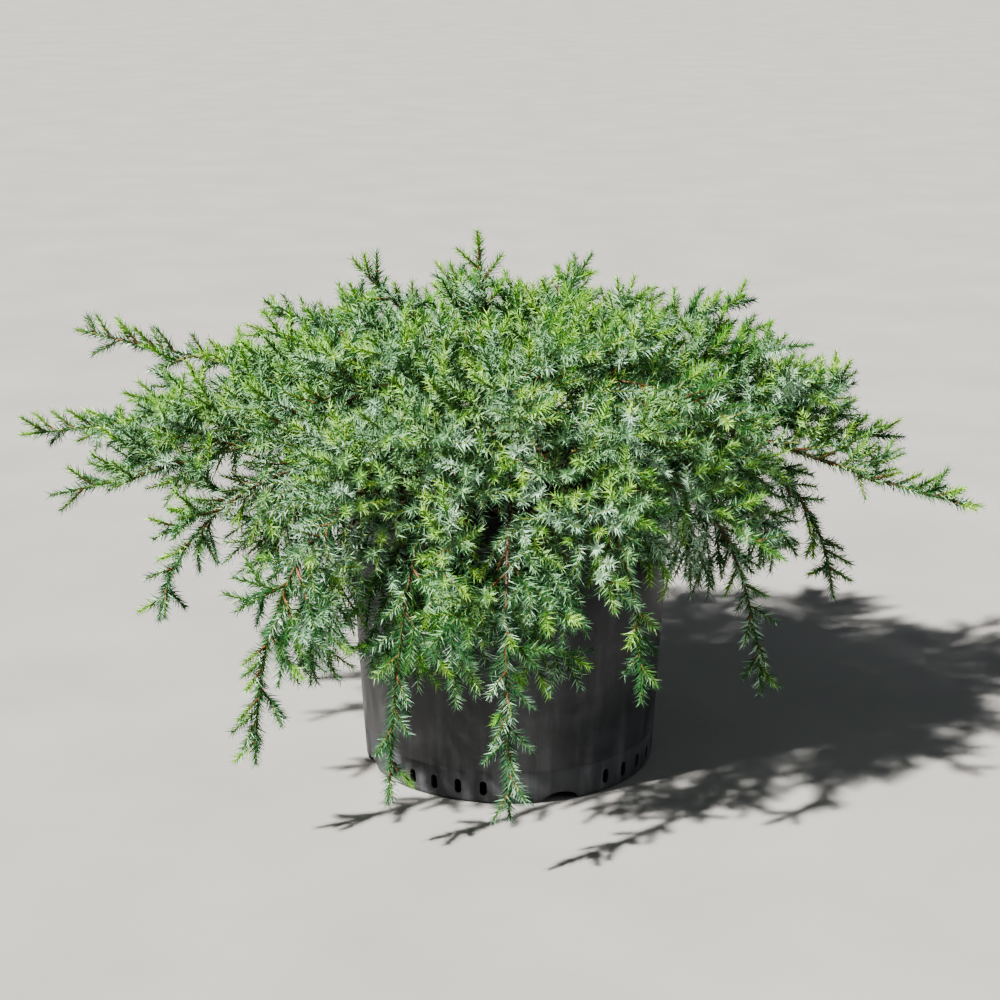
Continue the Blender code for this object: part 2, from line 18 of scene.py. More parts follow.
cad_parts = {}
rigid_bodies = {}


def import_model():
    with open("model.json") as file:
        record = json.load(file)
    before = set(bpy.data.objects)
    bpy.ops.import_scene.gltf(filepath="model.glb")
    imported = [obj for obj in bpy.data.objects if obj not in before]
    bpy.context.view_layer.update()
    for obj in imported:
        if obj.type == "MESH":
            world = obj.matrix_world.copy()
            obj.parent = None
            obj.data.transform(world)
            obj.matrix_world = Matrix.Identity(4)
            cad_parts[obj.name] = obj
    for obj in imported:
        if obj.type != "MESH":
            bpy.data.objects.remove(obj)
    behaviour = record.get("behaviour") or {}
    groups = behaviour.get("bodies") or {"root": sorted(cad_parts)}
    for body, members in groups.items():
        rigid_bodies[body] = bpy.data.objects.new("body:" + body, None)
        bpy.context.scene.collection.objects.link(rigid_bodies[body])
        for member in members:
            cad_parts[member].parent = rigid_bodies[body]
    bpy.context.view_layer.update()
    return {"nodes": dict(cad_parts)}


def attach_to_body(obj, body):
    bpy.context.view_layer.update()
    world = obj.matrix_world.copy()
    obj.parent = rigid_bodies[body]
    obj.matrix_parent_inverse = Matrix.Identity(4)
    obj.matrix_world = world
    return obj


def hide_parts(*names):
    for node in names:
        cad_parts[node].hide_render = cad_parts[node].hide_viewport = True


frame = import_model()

# Pot
POT_HEIGHT = 0.240
FOOT_RADIUS = 0.1175
WALL_TOP_RADIUS = 0.1290
WALL_TOP = 0.208
BAND_RADIUS = 0.1340
BAND_BOTTOM = 0.213
LIP_RADIUS = 0.1375
LIP_HEIGHT = 0.006
LIP_ROUND = 0.0014
FOOT_ROUND = 0.004
WALL = 0.0022
POT_SIDES = 180
RING_HEIGHTS = (0.0270, 0.1985)
RING_DEPTH = 0.0005
RING_HALF = 0.0012

# Drain openings round the foot
NOTCH_AZIMUTHS = (-70, 20, 110, 200)
NOTCH_WIDTH = 0.030
NOTCH_RISE = 0.008
NOTCH_DEPTH = 0.024
SLOT_OFFSETS = (20, 30, 40, 50, 60, 70)
SLOT_WIDTH = 0.0055
SLOT_HEIGHT = 0.012
SLOT_DEPTH = 0.016
SLOT_MIDDLE = 0.013

# Soil
SOIL_EDGE = 0.2165
SOIL_TOP = 0.2200
SOIL_CROWN_RADIUS = 0.045
SOIL_STEP_HEIGHT = 0.023
SOIL_STEP_RADIUS = 0.092
SOIL_RINGS = 46
SOIL_SIDES = 120
SOIL_RELIEF = 0.0024
CHIP_SIZE = 0.0052
CHIP_DENSITY = 21000
GAP = 0.0003

# Trunk: (height over the soil, lean in x, lean in y, radius), from the flare to the fork
TRUNK = (
    (0.000, 0.000, 0.000, 0.0230),
    (0.006, 0.000, 0.000, 0.0175),
    (0.016, -0.001, 0.000, 0.0150),
    (0.036, -0.004, 0.001, 0.0135),
    (0.056, -0.007, 0.002, 0.0120),
    (0.074, -0.010, 0.003, 0.0100),
    (0.088, -0.013, 0.004, 0.0070),
)

# Boughs: azimuth, fork height over the soil, reach and height of the tip, rise at the fork,
# drop at the tip and the bare share of the length
BOUGHS = {
    "lower": (
        (-154, 0.026, 0.295, 0.150, 0.038, 0.125, 0.44),
        (-134, 0.016, 0.270, 0.060, 0.050, 0.220, 0.42),
        (-114, 0.026, 0.222, 0.032, 0.045, 0.250, 0.38),
        (-90, 0.016, 0.250, 0.040, 0.050, 0.240, 0.38),
        (-67, 0.026, 0.240, 0.118, 0.045, 0.165, 0.38),
        (-24, 0.016, 0.215, 0.075, 0.050, 0.205, 0.38),
        (2, 0.026, 0.265, 0.123, 0.045, 0.155, 0.44),
        (60, 0.016, 0.262, 0.095, 0.050, 0.185, 0.44),
        (120, 0.016, 0.272, 0.090, 0.050, 0.190, 0.44),
    ),
    "middle": (
        (-174, 0.037, 0.367, 0.227, 0.040, 0.020, 0.32),
        (-160, 0.050, 0.294, 0.208, 0.050, 0.030, 0.30),
        (-127, 0.041, 0.272, 0.222, 0.045, 0.030, 0.28),
        (-101, 0.056, 0.262, 0.205, 0.045, 0.035, 0.28),
        (-73, 0.046, 0.255, 0.196, 0.045, 0.045, 0.28),
        (-41, 0.037, 0.270, 0.215, 0.045, 0.030, 0.28),
        (-2, 0.056, 0.382, 0.211, 0.045, 0.012, 0.70),
        (12, 0.046, 0.338, 0.248, 0.040, 0.005, 0.32),
        (26, 0.037, 0.305, 0.292, 0.030, -0.010, 0.32),
        (70, 0.037, 0.330, 0.240, 0.040, 0.020, 0.30),
        (103, 0.046, 0.350, 0.250, 0.040, 0.010, 0.30),
        (136, 0.037, 0.360, 0.240, 0.040, 0.020, 0.30),
        (163, 0.046, 0.383, 0.331, 0.030, -0.015, 0.62),
        (176, 0.060, 0.401, 0.260, 0.040, 0.010, 0.34),
    ),
    "upper": (
        (153, 0.068, 0.235, 0.345, 0.030, 0.005, 0.26),
        (37, 0.066, 0.268, 0.347, 0.030, 0.000, 0.26),
    ),
    "crown": (
        (-88, 0.074, 0.228, 0.284, 0.050, 0.040, 0.0),
        (-36, 0.074, 0.235, 0.296, 0.045, 0.035, 0.0),
        (64, 0.074, 0.165, 0.372, 0.045, 0.010, 0.0),
        (108, 0.078, 0.190, 0.360, 0.045, 0.010, 0.0),
        (180, 0.077, 0.126, 0.413, 0.050, -0.045, 0.0),
        (-144, 0.068, 0.235, 0.296, 0.045, 0.035, 0.0),
    ),
}
LEADER_TIP = (-0.024, 0.050, 0.424)
BASE_RADIUS = {"lower": 0.0042, "middle": 0.0037, "upper": 0.0034, "crown": 0.0030}
SPLIT_RADIUS = 0.0018
TIP_RADIUS = 0.0008
BOUGH_SWAY = 0.010
END_NEEDLE = 0.006
LINE_STEP = 0.0025
TRUNK_SUNK = 0.0015
# The trunk's own bark, and how far each limb's bark is shifted so that no two are alike
TRUNK_BARK = {"Ring Step": 0.0011, "Sides": 56, "Relief": 0.075, "Strip Width": 0.0017,
              "Strip Length": 0.016, "Knots": 0.14}
LIMB_SHIFT = 0.37

# Room for the foliage
DOME_TOP = 0.418
DOME_FALL = 1.05
OUT_OF_TIP = 0.004
NEEDLE_ROOM = 0.010
LEADER_HALO = 0.018
CELL_OVERLAP = 0.030
CLOTHED_LIMB = 0.34
LIMB_CLEAR = 0.0045
TRUNK_CLEAR = 0.0200
RIM_CLEAR = 0.0080
FLOOR_CLEAR = 0.0100


class Growth(NamedTuple):
    """How the shoots of one order grow off their parents."""

    step: float  # along the parent
    lean: float  # off the parent
    longest: float  # past a short shoot
    share: float  # of the parent's length left before its slim end
    curl: float  # upwards
    radii: tuple  # at foot and tip
    vigour: tuple  # least and most
    slim_end: float  # of the parent, where all shoots are short
    least_gain: float  # the open length that a shoot has to find


SHOOTS = {
    "side": Growth(0.008, math.radians(45), 0.076, 0.80, 1.5, (0.0013, 0.0007), (0.30, 1.20), 0.055, 0.008),
    "twig": Growth(0.008, math.radians(43), 0.026, 0.80, 3.5, (0.0010, 0.0006), (0.50, 1.15), 0.012, 0.009),
    "spur": Growth(0.008, math.radians(43), 0.006, 1.00, 7.0, (0.0008, 0.0006), (0.0, 1.00), 0.0, 0.009),
}
SHORT_SHOOT = (0.022, 0.029)
HANGING_SHORT_SHOOT = (0.017, 0.025)
TIP_TAPER = 1.15
LOWER_SLIM_END = 0.080
HANGING_SLIM_END = 0.105
LOWER_CURL = -0.4
LOWER_UP_PULL = -0.15
LEADER_KINDS = {
    "middle_7": "lone", "middle_13": "lone",
    "lower_3": "hanging", "lower_4": "hanging", "lower_5": "hanging", "lower_6": "hanging",
}
LONE_SHOOT = 0.012
FINGER_CHANCE = 0.24
FINGER_SHOOT = 0.006
FINGER_SLACK = 0.010
LEAST_SLACK = 0.013
MOST_SLACK = 0.080
SLACK_JITTER = 0.008
TWIG_SLACK = 0.006
CLUMP = 0.046
UP_PULL = 0.45
OUT_PULL = 0.25
SHOOT_POINTS = 9
FIRST_SHOOT = 0.010
LAST_SHOOT = 0.006
GOLDEN_ROLL = math.radians(137.5)
ROLL_TRIES = np.radians(np.arange(0, 360, 36))
SEED = 11

# Cells that tell where the crown is already full
FILL_LOW = (-0.46, -0.34, -0.05)
FILL_SIZE = (0.92, 0.76, 0.52)
FILL_CELL = 0.004
FILL_RADIUS = 0.0112

# Where a shoot's stem is brown, as shares of its length; a leader has bark before that
BROWN_STEM = {
    "leader": (0.50, 0.72), "lone": (0.70, 0.85), "hanging": (0.50, 0.75),
    "side": (0.0, 0.45), "twig": (0.0, 0.0), "spur": (0.0, 0.0),
}

# Needles. The step between whorls is for the shaded and for the lit part of the crown; a lean is
# off the stem; the run is how far from a shoot's tip its needles begin to lean in and to shrink
WHORL_STEP = (0.0032, 0.0013)
YOUNG_STEP = 0.85
NEEDLE_LENGTH = 0.0098
NEEDLE_WIDTH = 0.00122
NEEDLE_THINNESS = 0.5
NEEDLE_LEAN = math.radians(54)
TIP_LEAN = math.radians(38)
TIP_RUN = 0.016
TIP_SIZE = 0.70
BARE_FOOT = 0.15
YOUNG_CHANCE = (0.12, 0.58)
SILVER_CHANCE = (0.70, 0.5)
YOUNG_LENGTH = (0.010, 0.020)
STEM_STEP = 0.012
TINTS = 3

# Base colours of the needles: (green sides, pale side) for each tint of each kind
NEEDLE_COLOURS = {
    "silver": (
        ((0.024, 0.098, 0.034), (0.360, 0.590, 0.410)),
        ((0.030, 0.112, 0.040), (0.500, 0.740, 0.550)),
        ((0.028, 0.116, 0.032), (0.270, 0.490, 0.290)),
    ),
    "green": (
        ((0.024, 0.110, 0.024), (0.230, 0.440, 0.230)),
        ((0.034, 0.138, 0.030), (0.300, 0.540, 0.280)),
        ((0.054, 0.184, 0.032), (0.310, 0.550, 0.220)),
    ),
    "fresh": (
        ((0.090, 0.270, 0.028), (0.280, 0.540, 0.130)),
        ((0.125, 0.340, 0.034), (0.340, 0.620, 0.150)),
        ((0.175, 0.410, 0.040), (0.430, 0.690, 0.180)),
    ),
}
NEEDLE_ROUGHNESS = {"silver": 0.50, "green": 0.46, "fresh": 0.50}
BLOOM_ROUGHNESS = 0.55
NEEDLE_SPECULAR = 0.28

# Mottled base colours by material: dark, base and light, and the scale of their patches
LOOKS = {
    "brown_stem": ((0.110, 0.038, 0.016), (0.240, 0.085, 0.030), (0.320, 0.150, 0.055), 260.0),
    "green_stem": ((0.150, 0.170, 0.035), (0.240, 0.290, 0.055), (0.320, 0.360, 0.090), 260.0),
    "juniper_bark": ((0.060, 0.026, 0.016), (0.150, 0.064, 0.036), (0.230, 0.130, 0.080), 190.0),
    "black_pot_plastic": (
        (0.0035, 0.0050, 0.0075), (0.0065, 0.0085, 0.0120), (0.0120, 0.0150, 0.0200), 60.0),
    "potting_mix": ((0.012, 0.008, 0.006), (0.040, 0.026, 0.018), (0.085, 0.058, 0.040), 380.0),
    "bark_chips": ((0.035, 0.020, 0.013), (0.105, 0.060, 0.036), (0.200, 0.125, 0.078), 150.0),
}
# Roughness and specular level, streaks (across, along, share, colour) and bump (strength, distance)
FINISHES = {
    "brown_stem": {"surface": (0.55, 0.5)},
    "green_stem": {"surface": (0.55, 0.5)},
    "juniper_bark": {"surface": (0.8, 0.3), "streaks": (800.0, 70.0, 0.55, (0.270, 0.205, 0.165)),
                     "bump": (0.7, 0.0006)},
    "potting_mix": {"surface": (0.92, 0.2), "bump": (0.8, 0.0012)},
    "bark_chips": {"surface": (0.85, 0.3), "streaks": (700.0, 250.0, 0.4, (0.030, 0.018, 0.012)),
                   "bump": (0.5, 0.0005)},
}
FLOOR_COLOURS = ((0.37, 0.36, 0.35), (0.41, 0.40, 0.39))

# Camera
FIELD = math.radians(25)
ELEVATION = math.radians(15.6)
TARGET = Vector((-0.0074, 0.0, 0.2133))
DISTANCE = 1.81

# Floor and light. The backdrop is pale at the horizon and darker above: from and to height of the
# direction, from and to strength
FLOOR_HALF = 20.0
LIT_MIDDLE = (0.0, 0.0, 0.2)
BACKDROP = (0.0, 0.20, 0.58, 0.10)

# Values on points and faces that serve while a piece is made
WORKING_VALUES = (
    "lean", "size", "step", "tint", "pale", "frame", "whorl", "thick", "limb", "along", "around", "top",
)

UP = np.array([0.0, 0.0, 1.0])


# Lines of growth


def trunk_axis(height):
    """Point of the trunk's middle line at a height over the soil."""
    rows = np.array(TRUNK)
    x, y = (np.interp(height, rows[:, 0], rows[:, k]) for k in (1, 2))
    return np.array([x, y, SOIL_TOP + GAP + height])


def run_along(points):
    """Distance of each point of a polyline from its start."""
    return np.concatenate([[0.0], np.cumsum(np.linalg.norm(np.diff(points, axis=0), axis=1))])


def points_at(points, distances):
    """Points of a polyline at the given distances from its start."""
    run = run_along(points)
    return np.column_stack([np.interp(distances, run, points[:, k]) for k in range(3)])


def even_points(points, count):
    return points_at(points, np.linspace(0.0, run_along(points)[-1], count))


def length_of(points):
    return float(run_along(points)[-1])


def stretch(points, start, end, step):
    """The part of a polyline between two distances, with a point about every step."""
    count = max(3, round((end - start) / step) + 1)
    return points_at(points, np.linspace(start, end, count))


def sampled_curve(controls, count=160):
    """A cubic Bezier curve as points at equal steps of its length."""
    t = np.linspace(0.0, 1.0, count)[:, None]
    a, b, c, d = controls
    raw = (1 - t) ** 3 * a + 3 * (1 - t) ** 2 * t * b + 3 * (1 - t) * t**2 * c + t**3 * d
    return even_points(raw, count)


def bough_curve(number, row):
    """The whole line of a bough, from the trunk's middle to its furthest tip."""
    azimuth, fork_height, reach, height, rise, drop, _ = row
    turn = math.radians(azimuth)
    out = np.array([math.cos(turn), math.sin(turn), 0.0])
    side = np.array([-out[1], out[0], 0.0])
    fork = trunk_axis(fork_height)
    tip = out * reach + UP * height
    sway = side * BOUGH_SWAY * (1 if number % 2 else -1)
    first = fork + out * reach * 0.38 + UP * rise + sway
    second = tip - out * reach * (0.30 if drop < 0.08 else 0.04) + UP * drop - sway
    return sampled_curve((fork, first, second, tip))


def crown_top_curve():
    """The line of the leader that goes on from the trunk's tip."""
    top = trunk_axis(TRUNK[-1][0]) + UP * 1.4 * GAP
    tip = np.array(LEADER_TIP)
    middle = (top + tip) / 2
    return sampled_curve((top, top + (0.004, 0.006, 0.04), middle + (-0.008, 0.0, 0.01), tip))


@dataclass
class Bough:
    """A bough's whole line without its end needle, and how much of it is a bare limb."""

    tier: str
    label: str
    line: np.ndarray
    bare: float

    @property
    def leader(self):
        """The part with shoots, which starts a little way down the limb."""
        start = self.bare * (1 - CLOTHED_LIMB)
        return stretch(self.line, start, length_of(self.line), LINE_STEP)


def all_boughs():
    boughs = []
    for tier, rows in BOUGHS.items():
        for number, row in enumerate(rows):
            curve = bough_curve(number, row)
            total = length_of(curve)
            line = stretch(curve, 0.0, total - END_NEEDLE, LINE_STEP)
            boughs.append(Bough(tier, f"{tier}_{number + 1}", line, total * row[-1]))
    curve = crown_top_curve()
    line = stretch(curve, 0.0, length_of(curve) - END_NEEDLE, LINE_STEP)
    boughs.append(Bough("crown", "crown_top", line, 0.0))
    return boughs


def frames_along(points):
    """Tangent, side and up vectors carried along a polyline without twist."""
    tangents = np.gradient(points, axis=0)
    tangents /= np.linalg.norm(tangents, axis=1)[:, None]
    side = np.cross(tangents[0], UP)
    if np.linalg.norm(side) < 0.1:
        side = np.cross(tangents[0], (0.0, 1.0, 0.0))
    sides = []
    for tangent in tangents:
        side = side - tangent * side.dot(tangent)
        side /= np.linalg.norm(side)
        sides.append(side)
    sides = np.array(sides)
    return tangents, sides, np.cross(sides, tangents)


# Room and shoots


def nearest(points, cloud):
    """Distance of each point to the nearest point of a cloud."""
    squares = (points**2).sum(1)[:, None] + (cloud**2).sum(1)[None] - 2 * points @ cloud.T
    return np.sqrt(np.maximum(squares.min(axis=1), 0.0))


class Room:
    """The room that each leader's growth keeps to: about its own line, under the dome, clear of the rest."""

    def __init__(self, boughs):
        self.clouds = [even_points(b.leader, max(3, int(length_of(b.leader) / 0.008))) for b in boughs]
        self.tips = [b.line[-1] for b in boughs]
        bare = 1 - CLOTHED_LIMB
        limbs = [stretch(b.line, 0.0, b.bare * bare, 0.006)[:-2] for b in boughs if b.bare > 0.03]
        self.limbs = np.concatenate(limbs)
        self.trunk = np.array([trunk_axis(h) for h in np.linspace(0.0, TRUNK[-1][0], 24)])

    def under_dome(self, points, owner, slack):
        """Whether points lie under the crown's dome, by the slack that their shoot leaves to it."""
        tip = self.tips[owner]
        reach = max(math.hypot(tip[0], tip[1]), 0.12) + END_NEEDLE + OUT_OF_TIP - NEEDLE_ROOM - slack
        away = np.hypot(points[:, 0], points[:, 1])
        ceiling = min(tip[2], POT_HEIGHT) + OUT_OF_TIP
        top = np.maximum(DOME_TOP - DOME_FALL * away**2 - slack, ceiling) - NEEDLE_ROOM
        low = min(tip[2] - END_NEEDLE - OUT_OF_TIP, POT_HEIGHT - 0.02) + NEEDLE_ROOM
        return (points[:, 2] < top) & (away < reach) & (points[:, 2] > low)

    def inside(self, points, owner, slacks):
        """Which of the points lie in the owner's room, with one slack for each of their rows."""
        flat = points.reshape(-1, 3)
        slack = np.repeat(slacks, flat.shape[0] // len(slacks))
        own = nearest(flat, self.clouds[owner])
        others = np.concatenate([c for n, c in enumerate(self.clouds) if n != owner])
        fits = own - CELL_OVERLAP < nearest(flat, others)
        fits &= self.under_dome(flat, owner, slack) | (own < LEADER_HALO)
        fits &= flat[:, 2] > FLOOR_CLEAR
        over_pot = np.hypot(flat[:, 0], flat[:, 1]) < LIP_RADIUS + RIM_CLEAR
        fits &= ~(over_pot & (flat[:, 2] < POT_HEIGHT + RIM_CLEAR))
        fits &= nearest(flat, self.limbs) > LIMB_CLEAR
        fits &= nearest(flat, self.trunk) > TRUNK_CLEAR
        return fits.reshape(points.shape[:-1])


class Fill:
    """Where the crown already holds needles, in cells of a few millimetres."""

    def __init__(self):
        self.held = np.zeros([int(side / FILL_CELL) for side in FILL_SIZE], bool)
        reach = FILL_RADIUS / FILL_CELL
        steps = np.arange(-math.ceil(reach), math.ceil(reach) + 1)
        block = np.stack(np.meshgrid(steps, steps, steps), axis=-1).reshape(-1, 3)
        self.ball = block[(block**2).sum(axis=1) <= reach**2]

    def cells(self, points):
        return ((points - FILL_LOW) / FILL_CELL).astype(int)

    def is_open(self, points):
        return ~self.held[tuple(np.moveaxis(self.cells(points), -1, 0))]

    def hold(self, points):
        around = self.cells(points)[:, None] + self.ball
        self.held[tuple(np.moveaxis(around, -1, 0))] = True


def reaches_of(parent, order, stations, chance):
    """How long a shoot may grow at each station, shorter towards the parent's tip."""
    growth = SHOOTS[order]
    slim, longest, shortest = growth.slim_end, growth.longest, SHORT_SHOOT
    if parent.order == "hanging":
        slim, shortest = HANGING_SLIM_END, HANGING_SHORT_SHOOT
    elif parent.order == "leader" and parent.tier == "lower":
        slim = LOWER_SLIM_END
    elif parent.order == "lone":
        longest = LONE_SHOOT
    if parent.slack < LEAST_SLACK and order != "side":
        longest = min(longest, FINGER_SHOOT)
    vigour = np.array([chance.uniform(*growth.vigour) for _ in stations])
    short = np.array([chance.uniform(*shortest) for _ in stations])
    to_tip = length_of(parent.line) - stations
    long = short + np.minimum(longest, np.maximum(to_tip - slim, 0.0) * growth.share) * vigour
    return np.minimum(long, to_tip * TIP_TAPER)


def slacks_of(parent, order, stations, chance):
    """How far under the dome each shoot stays: in clumps, with a few side shoots standing out as fingers."""
    if order != "side":
        return np.array([parent.slack + chance.uniform(0.0, TWIG_SLACK) for _ in stations])
    slacks = []
    for foot in points_at(parent.line, stations):
        clump = np.interp(noise.noise(foot / CLUMP), (-0.45, 0.45), (LEAST_SLACK, MOST_SLACK))
        slack = clump + chance.uniform(-SLACK_JITTER, SLACK_JITTER)
        slacks.append(chance.uniform(0.0, FINGER_SLACK) if chance.random() < FINGER_CHANCE else slack)
    return np.array(slacks)


def shoots_off(parent, order, room, fill, owner, chance):
    """The shoots of one order on a parent shoot, each turned to the side with the most open room."""
    growth = SHOOTS[order]
    line = parent.line
    stations = np.arange(FIRST_SHOOT, length_of(line) - LAST_SHOOT, growth.step)
    if len(stations) == 0:
        return []
    reaches = reaches_of(parent, order, stations, chance)
    slacks = slacks_of(parent, order, stations, chance)
    tangents, sides, ups = frames_along(line)
    at = np.searchsorted(run_along(line), stations).clip(0, len(line) - 1)
    rolls = chance.uniform(0, 2 * math.pi) + GOLDEN_ROLL * np.arange(len(at))
    angles = (rolls[:, None] + ROLL_TRIES)[..., None]
    outs = sides[at][:, None] * np.cos(angles) + ups[at][:, None] * np.sin(angles)
    headings = tangents[at][:, None] * math.cos(growth.lean) + outs * math.sin(growth.lean)
    runs = (reaches[:, None] * np.linspace(1 / SHOOT_POINTS, 1, SHOOT_POINTS))[:, None, :, None]
    curl, up_pull = (LOWER_CURL, LOWER_UP_PULL) if parent.tier == "lower" else (growth.curl, UP_PULL)
    points = line[at][:, None, None] + headings[:, :, None] * runs + UP * curl * runs**2
    grown = room.inside(points, owner, slacks).cumprod(axis=2).astype(bool)
    away = line[at] * (1.0, 1.0, 0.0)
    away /= np.linalg.norm(away, axis=1)[:, None] + 0.001
    pull = 1.0 + up_pull * headings[..., 2] + OUT_PULL * (headings * away[:, None]).sum(axis=2)
    shoots = []
    for n, place in enumerate(at):
        gains = fill.is_open(points[n]) & grown[n]
        turn = (gains.sum(axis=1) * pull[n]).argmax()
        if gains[turn].sum() * reaches[n] / SHOOT_POINTS < growth.least_gain:
            continue
        count = np.flatnonzero(gains[turn])[-1] + 1
        shoot = np.vstack([line[place], points[n, turn, :count]])
        fill.hold(shoot)
        light = light_on(shoot[-1], parent.reach)
        shoots.append(Shoot(shoot, order, growth.radii, parent.tier, light, parent.reach, slacks[n]))
    return shoots


@dataclass
class Shoot:
    """One stem with needles. Its light is 0 deep in the crown, its slack is what it leaves to the dome."""

    line: np.ndarray
    order: str
    radii: tuple
    tier: str
    light: float
    reach: float
    slack: float


def light_on(point, tip_reach):
    """0 deep in the crown, 1 at its outside."""
    away = math.hypot(point[0], point[1])
    under_top = DOME_TOP - DOME_FALL * away**2 - point[2]
    outward = away / tip_reach
    return float(np.clip(max(1.0 - (under_top - LEAST_SLACK) / 0.09, 2.2 * outward - 1.2), 0.0, 1.0))


def grow_crown(boughs):
    """Every shoot of the plant: the leaders, then each order of shoots on those of the order before."""
    room = Room(boughs)
    fill = Fill()
    chance = random.Random(SEED)
    parents = []
    for owner, bough in enumerate(boughs):
        reach = max(0.2, math.hypot(*bough.line[-1][:2]))
        order = LEADER_KINDS.get(bough.label, "leader")
        leader = Shoot(bough.leader, order, (SPLIT_RADIUS, TIP_RADIUS), bough.tier, 1.0, reach, 0.0)
        fill.hold(leader.line)
        parents.append((owner, leader))
    shoots = [leader for _, leader in parents]
    for order in SHOOTS:
        young = []
        for owner, parent in parents:
            grown = shoots_off(parent, order, room, fill, owner, chance)
            young += [(owner, shoot) for shoot in grown]
        shoots += [shoot for _, shoot in young]
        parents = young
    return shoots


# Node trees


class Nodes:
    """Adds nodes to a tree. Inputs are given by name or number, as a value or another node's socket."""

    def __init__(self, tree):
        self.tree = tree

    def feed(self, node, inputs):
        for key, value in inputs.items():
            if isinstance(value, bpy.types.NodeSocket):
                self.tree.links.new(value, node.inputs[key])
            else:
                node.inputs[key].default_value = value

    def add(self, kind, inputs=None, **settings):
        """The outputs of a new node."""
        node = self.tree.nodes.new(kind)
        for key, value in settings.items():
            setattr(node, key, value)
        self.feed(node, inputs or {})
        return node.outputs

    def geometry(self, kind, inputs=None, **settings):
        """The first output of a new geometry node."""
        return self.add("GeometryNode" + kind, inputs, **settings)[0]

    def math(self, operation, a, b=0.0, clamp=False):
        return self.add("ShaderNodeMath", {0: a, 1: b}, operation=operation, use_clamp=clamp)[0]

    def times(self, a, b):
        return self.math("MULTIPLY", a, b)

    def plus(self, a, b):
        return self.math("ADD", a, b)

    def combine(self, x, y, z):
        return self.add("ShaderNodeCombineXYZ", {0: x, 1: y, 2: z})[0]

    def turn(self, angles):
        return self.add("FunctionNodeEulerToRotation", {0: angles})[0]

    def separate(self, vector):
        return self.add("ShaderNodeSeparateXYZ", {0: vector})

    def stretched(self, place, scale):
        return self.add("ShaderNodeVectorMath", {0: place, 1: scale}, operation="MULTIPLY")[0]

    def mapped(self, value, low, high, to_low=0.0, to_high=1.0):
        inputs = {"Value": value, 1: low, 2: high, 3: to_low, 4: to_high}
        return self.add("ShaderNodeMapRange", inputs)[0]

    def noise(self, place, scale, detail, roughness=0.5):
        inputs = {"Vector": place, "Scale": scale, "Detail": detail, "Roughness": roughness}
        return self.add("ShaderNodeTexNoise", inputs)[0]

    def attribute(self, name, kind="FLOAT"):
        """A named value of the geometry."""
        return self.geometry("InputNamedAttribute", {"Name": name}, data_type=kind)

    def store(self, geometry, name, value, kind="FLOAT", domain="POINT"):
        """The geometry with a named value on its points or faces."""
        inputs = {"Geometry": geometry, "Name": name, "Value": value}
        return self.geometry("StoreNamedAttribute", inputs, data_type=kind, domain=domain)


def new_tree(name, kind, inputs, outputs):
    """A tree's nodes and input sockets. Inputs are {name: number or kind}, outputs are {name: kind}."""
    tree = bpy.data.node_groups.new(name, kind)
    for label, value in inputs.items():
        socket = value if isinstance(value, str) else {float: "Float", int: "Int"}[type(value)]
        made = tree.interface.new_socket(label, in_out="INPUT", socket_type="NodeSocket" + socket)
        if socket != value:
            made.default_value = value
    for label, socket in outputs.items():
        tree.interface.new_socket(label, in_out="OUTPUT", socket_type="NodeSocket" + socket)
    return Nodes(tree), tree.nodes.new("NodeGroupInput").outputs


def end_tree(nodes, outputs):
    """The tree, ended in its named outputs."""
    nodes.add("NodeGroupOutput", outputs)
    return nodes.tree


def new_shape(name, inputs):
    """A Geometry Nodes tree with a geometry in and out and more named inputs."""
    inputs = {"Geometry": "Geometry"} | inputs
    return new_tree(name, "GeometryNodeTree", inputs, {"Geometry": "Geometry"})


def end_shape(nodes, geometry, materials):
    """The tree, ended in Realize Instances and one Set Material for each (material, selection)."""
    geometry = nodes.geometry("RealizeInstances", {0: geometry})
    for material, selection in materials:
        inputs = {"Geometry": geometry, "Selection": selection, "Material": material}
        geometry = nodes.geometry("SetMaterial", inputs)
    return end_tree(nodes, {"Geometry": geometry})


def attach(obj, tree, values):
    """Puts a tree on an object and sets its named inputs."""
    modifier = obj.modifiers.new(tree.name, "NODES")
    modifier.node_group = tree
    for item in tree.interface.items_tree:
        if item.in_out == "INPUT" and item.name in values:
            modifier[item.identifier] = values[item.name]


def add_object(name, data, collection=None):
    obj = bpy.data.objects.new(name, data)
    (collection or bpy.context.scene.collection).objects.link(obj)
    return obj


def made_plain(name, guide):
    """The evaluated guide as a plain mesh object at the origin, without working values; the guide goes."""
    bpy.context.view_layer.update()
    graph = bpy.context.evaluated_depsgraph_get()
    mesh = bpy.data.meshes.new_from_object(guide.evaluated_get(graph))
    mesh.name = name
    for n in reversed(range(len(mesh.materials))):
        if mesh.materials[n] is None:
            mesh.materials.pop(index=n)
    for key in WORKING_VALUES:
        layer = mesh.attributes.get(key)
        if layer:
            mesh.attributes.remove(layer)
    bpy.data.objects.remove(guide, do_unlink=True)
    return add_object(name, mesh)


def made_along(name, lines, values, tree, inputs):
    """What a tree makes of polylines with named values on their points, as a plain mesh object."""
    ends = np.cumsum([len(line) for line in lines])
    first = np.ones(ends[-1], bool)
    first[ends - 1] = False
    starts = np.flatnonzero(first)
    mesh = bpy.data.meshes.new("lines")
    mesh.from_pydata(np.concatenate(lines), np.column_stack([starts, starts + 1]).tolist(), [])
    for key, rows in values.items():
        layer = mesh.attributes.new(key, "FLOAT", "POINT")
        layer.data.foreach_set("value", np.concatenate(rows).astype(np.float32))
    guide = add_object("lines", mesh)
    attach(guide, tree, inputs)
    return made_plain(name, guide)


